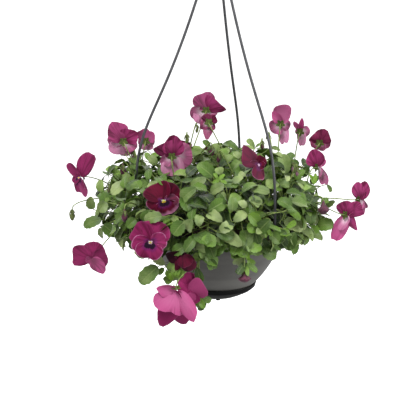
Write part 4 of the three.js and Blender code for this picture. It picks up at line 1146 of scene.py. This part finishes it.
# Corners that stand out of an edge: bloom and petal, then the angle from the tip and the height.
CORNERS = {
    (1, 0): (-14, 0.14), (1, 1): (-42, 0.38), (2, 4): (0, 0.2), (3, 0): (0, 0.12), (3, 1): (-10, 0.15),
    (5, 0): (30, 0.1), (5, 1): (10, 0.1), (6, 0): (28, 0.3), (7, 1): (-40, 0.15), (8, 1): (-30, 0.15),
    (9, 1): (-40, 0.3), (9, 4): (0, 0.2), (11, 2): (0, 0.2), (11, 3): (-10, 0.1), (12, 1): (20, 0.2),
    (13, 1): (10, 0.3), (14, 0): (-30, 0.15), (16, 1): (0, 0.15), (16, 0): (45, 0.12),
    (19, 0): (-30, 0.2), (19, 4): (0, 0.1),
}


def petal_plan(bloom):
    """Each petal's tip from the middle of the face, its width and its facing."""
    _, facing, top, side = bloom_frame(bloom)
    if isinstance(bloom[3], list):
        return [
            (np.array(petal[:3], float), petal[3], direction(*petal[4:]) if petal[4:] else facing)
            for petal in bloom[3]
        ]
    plan = []
    for turn, length, width, lean in EVEN_PETALS:
        turn, lean = math.radians(turn), math.radians(lean)
        flat = top * math.cos(turn) + side * math.sin(turn)
        tip = (flat * math.cos(lean) + facing * math.sin(lean)) * length * bloom[3]
        plan.append((tip, width * bloom[3], facing))
    return plan


def petal_form(reach, width, taper, corner, curl, cup, ruffle, waves, phase, notch, fold, twist):
    """A petal's places along, across and out of it, from its grid."""
    across, along, face = petal_grid["points"].T
    swing = across * math.radians(80)
    dent = notch * np.exp(-((swing / 0.15) ** 2))
    point = corner[1] * np.exp(-((swing - math.radians(corner[0])) / 0.22) ** 2) * along**3
    edge = reach * np.cos(swing) ** taper * (1 - dent + 0.025 * np.sin(8 * swing + phase))
    edge *= 1 + 0.03 * np.sin(3.1 * swing + 2 * phase) + point
    broadest = (taper / (1 + taper)) ** (taper / 2) / math.sqrt(1 + taper)
    x = width / (2 * broadest * reach) * edge * along * np.sin(swing) + across * 0.9
    y = edge * along * np.cos(swing)
    frill = ruffle * reach * along**3 * np.sin(waves * swing + phase)
    z = cup * x * x / reach + frill + fold * np.abs(x) + 0.6 * face
    x, z = turned_by(twist * along, x, z)
    bend = curl * y / reach + NEARLY_NONE
    run = reach * np.sin(bend) / (curl + NEARLY_NONE)
    drop = reach * (1 - np.cos(bend)) / (curl + NEARLY_NONE)
    return np.stack([run + z * np.sin(bend), x, z * np.cos(bend) - drop], axis=1)


def petal_finishes(name, front_paints, back_paints, rim, eye_size):
    """The two faces of a bloom's petals, each from its main, dark and light paint."""
    made = []
    for side, (main, dark, light) in (("front", front_paints), ("back", back_paints)):
        finish = Finish(f"{name}_{side}", Roughness=0.7, Specular_IOR_Level=0.12)
        across, along = finish.across_along()
        tone, kind = finish.mark("tone"), finish.mark("kind")
        fan = finish.node("ShaderNodeCombineXYZ", inputs={0: across * 44, 1: along * 1.6, 2: tone * 9})
        wide_fan = finish.node("ShaderNodeCombineXYZ", inputs={0: across * 9, 1: along * 1.2, 2: tone * 5})
        veins = finish.noise(1.0, 2, fan)
        broad = finish.noise(1.0, 1, wide_fan)
        cells = finish.noise(1500, 2)
        front_layer = finish.step(kind, 0.3, 0.45)
        lower = finish.step(kind, 0.8, 0.95)
        not_upper = finish.step(kind, 0.1, 0.18)
        upper = 1 - not_upper
        plain = not_upper * (1 - front_layer)
        streaks = finish.step(veins * 0.4 + broad * 0.6 + plain * 0.18, 0.32, 0.62)
        colour = finish.mix(streaks, dark, main)
        if side == "front":
            hem = finish.step(along + broad * 0.08, 0.97, 1.05) * (0.1 + 0.45 * front_layer)
            colour = finish.mix(hem, colour, light)
            colour = finish.mix(finish.step(along + broad * 0.3, 0.86, 1.1) * lower * rim, colour, light)
            throat_dark = 1 - finish.step(along, 0.1, 0.5)
            colour = finish.mix(throat_dark * 0.55 * upper, colour, dark)
            spread = along - veins * 0.22 - lower * 0.1
            haze = front_layer * (1 - finish.step(spread, 0.2, 0.42))
            colour = finish.mix(haze * 0.5, colour, paint(84, 26, 92))
            blotch = front_layer * (1 - finish.step(spread, 0.14, 0.2)) * (0.5 + 0.5 * lower)
            colour = finish.mix(blotch, colour, paint(30, 8, 30))
            halo = front_layer * (1 - finish.step(along + veins * 0.12, 0.13, 0.2))
            colour = finish.mix(halo * 0.85, colour, paint(214, 180, 206))
            eye = lower * (1 - finish.step(along, eye_size, eye_size + 0.05))
            colour = finish.mix(eye, colour, paint(232, 186, 44))
        else:
            frayed = along + veins * 0.25
            inside = 1 - finish.step(frayed, 0.55, 1.08)
            washed = 0.16 + 0.2 * inside + 0.25 * lower + 0.3 * (veins - 0.5)
            colour = finish.mix(not_upper * washed * (0.4 + 0.6 * front_layer), colour, light)
            root = (1 - finish.step(frayed, 0.4, 0.85)) * front_layer * (1 - 0.4 * lower)
            colour = finish.mix(root * 0.7, colour, paint(240, 222, 230))
            colour = finish.mix((1 - finish.step(frayed, 0.25, 0.9)) * 0.85 * upper, colour, dark)
        colour = finish.mix(finish.step(tone, 0.5, 1.0) * 0.1, colour, light)
        blackened = 1 - finish.step(kind, -0.8, -0.3)
        colour = finish.mix(blackened * 0.85, colour, paint(30, 4, 16))
        finish.set("Base Color", colour)
        finish.set("Roughness", 0.62 + 0.15 * cells)
        finish.bump(veins * 0.8 + cells * 0.15, 0.0006, 0.7)
        made.append(finish)
    return made


magenta = petal_finishes(
    "petal_magenta",
    (paint(136, 35, 86), paint(94, 18, 54), paint(214, 150, 192)),
    (paint(164, 59, 113), paint(98, 25, 58), paint(240, 176, 212)),
    rim=0.0, eye_size=0.05,
)
wine = petal_finishes(
    "petal_wine",
    (paint(90, 4, 37), paint(52, 2, 20), paint(200, 132, 168)),
    (paint(138, 46, 86), paint(84, 20, 48), paint(190, 116, 152)),
    rim=0.55, eye_size=0.1,
)
beard_white = Finish("throat_beard", Roughness=0.7, Sheen_Weight=0.3)
beard_noise = beard_white.noise(1800, 2)
beard_white.set("Base Color", beard_white.mix(beard_noise, paint(236, 226, 214), paint(248, 244, 236)))
eye_yellow = Finish("throat_stigma", Roughness=0.45)
eye_noise = eye_yellow.noise(1200, 2)
eye_yellow.set("Base Color", eye_yellow.mix(eye_noise, paint(158, 168, 60), paint(206, 200, 92)))

bpy.ops.object.select_all(action="DESELECT")
bpy.ops.mesh.primitive_uv_sphere_add(segments=10, ring_count=7, radius=1)
stigma_piece = bpy.context.object
for vertex in stigma_piece.data.vertices:
    vertex.co.x *= 1 + 0.25 * vertex.co.z
    vertex.co.y *= 1 + 0.25 * vertex.co.z
stigma = taken_off(stigma_piece)
bpy.ops.object.select_all(action="DESELECT")
bpy.ops.mesh.primitive_cone_add(vertices=5, radius1=0.35, radius2=0.08, depth=1, location=(0, 0, 0.5))
bpy.ops.object.transform_apply(location=True, rotation=True, scale=True)
bpy.ops.object.mode_set(mode="EDIT")
bpy.ops.mesh.subdivide(number_cuts=1)
bpy.ops.object.mode_set(mode="OBJECT")
hair = taken_off(bpy.context.object)


def set_in(points, origin, first, second, third):
    """Points measured along three directions from an origin, as places in the whole object."""
    return metres(origin + points[:, :1] * first + points[:, 1:2] * second + points[:, 2:] * third)


for number, bloom in enumerate(BLOOMS, 1):
    centre, facing, top, side = bloom_frame(bloom)
    colour = bloom[2]
    shy = number in SHY_BLOOMS
    marks = PETAL_MARKS.get(number, USUAL_MARKS)
    luck = np.random.default_rng(100 + number)
    parts = []
    for k, (tip, width, front) in enumerate(petal_plan(bloom)):
        reach, along = np.linalg.norm(tip), unit(tip)
        across = unit(np.cross(along, front))
        out = np.cross(across, along)
        form = petal_form(
            reach, width * (1.06 + 0.04 * luck.normal()), PETAL_TAPERS[k], CORNERS.get((number, k), (0, 0)),
            curl=0.2 + 0.14 * luck.normal(), cup=0.3 * luck.normal(), ruffle=0.07 + 0.02 * luck.normal(),
            waves=3 + luck.random() * 2, phase=6 * luck.random(), notch=0.1 if k == 4 else 0.0,
            fold=0.1 * luck.normal(), twist=0.12 * luck.normal(),
        )
        places = set_in(form, centre + facing * PETAL_LAYERS[k], along, across, out)
        parts.append((petal_grid, places, PETAL_SLOT, luck.random(), float(marks[k])))
    if not shy:
        knob = stigma["points"] * (1.6 if colour == "wine" else 1.1)
        places = set_in(knob, centre + facing * 3.2, side, top, facing)
        parts.append((stigma, places, STIGMA_SLOT, *UNMARKED))
    tuft = hair["points"] * (1.0, 1.0, 2.6) * (1.0 if colour == "wine" else 0.75)
    for hand in () if shy else (-1, 1):
        for h in range(6):
            sideways = side * hand * (1.6 + 0.5 * (h % 3))
            base = centre + sideways + top * (0.4 + 0.9 * (h // 3)) + facing * 2.2
            point = unit(facing - side * hand * (0.8 - 0.2 * h) + top * 0.15 * (h % 2))
            first = unit(np.cross(point, top))
            places = set_in(tuft, base, first, np.cross(point, first), point)
            parts.append((hair, places, BEARD_SLOT, *UNMARKED))
    bloom_finishes = (magenta if colour == "magenta" else wine) + [eye_yellow, beard_white]
    flower = laid_up(f"pansy_flower_{number:02d}", parts, bloom_finishes)
    fitted(flower, f"petal_{colour}", None, f"bloom_{number:02d}")
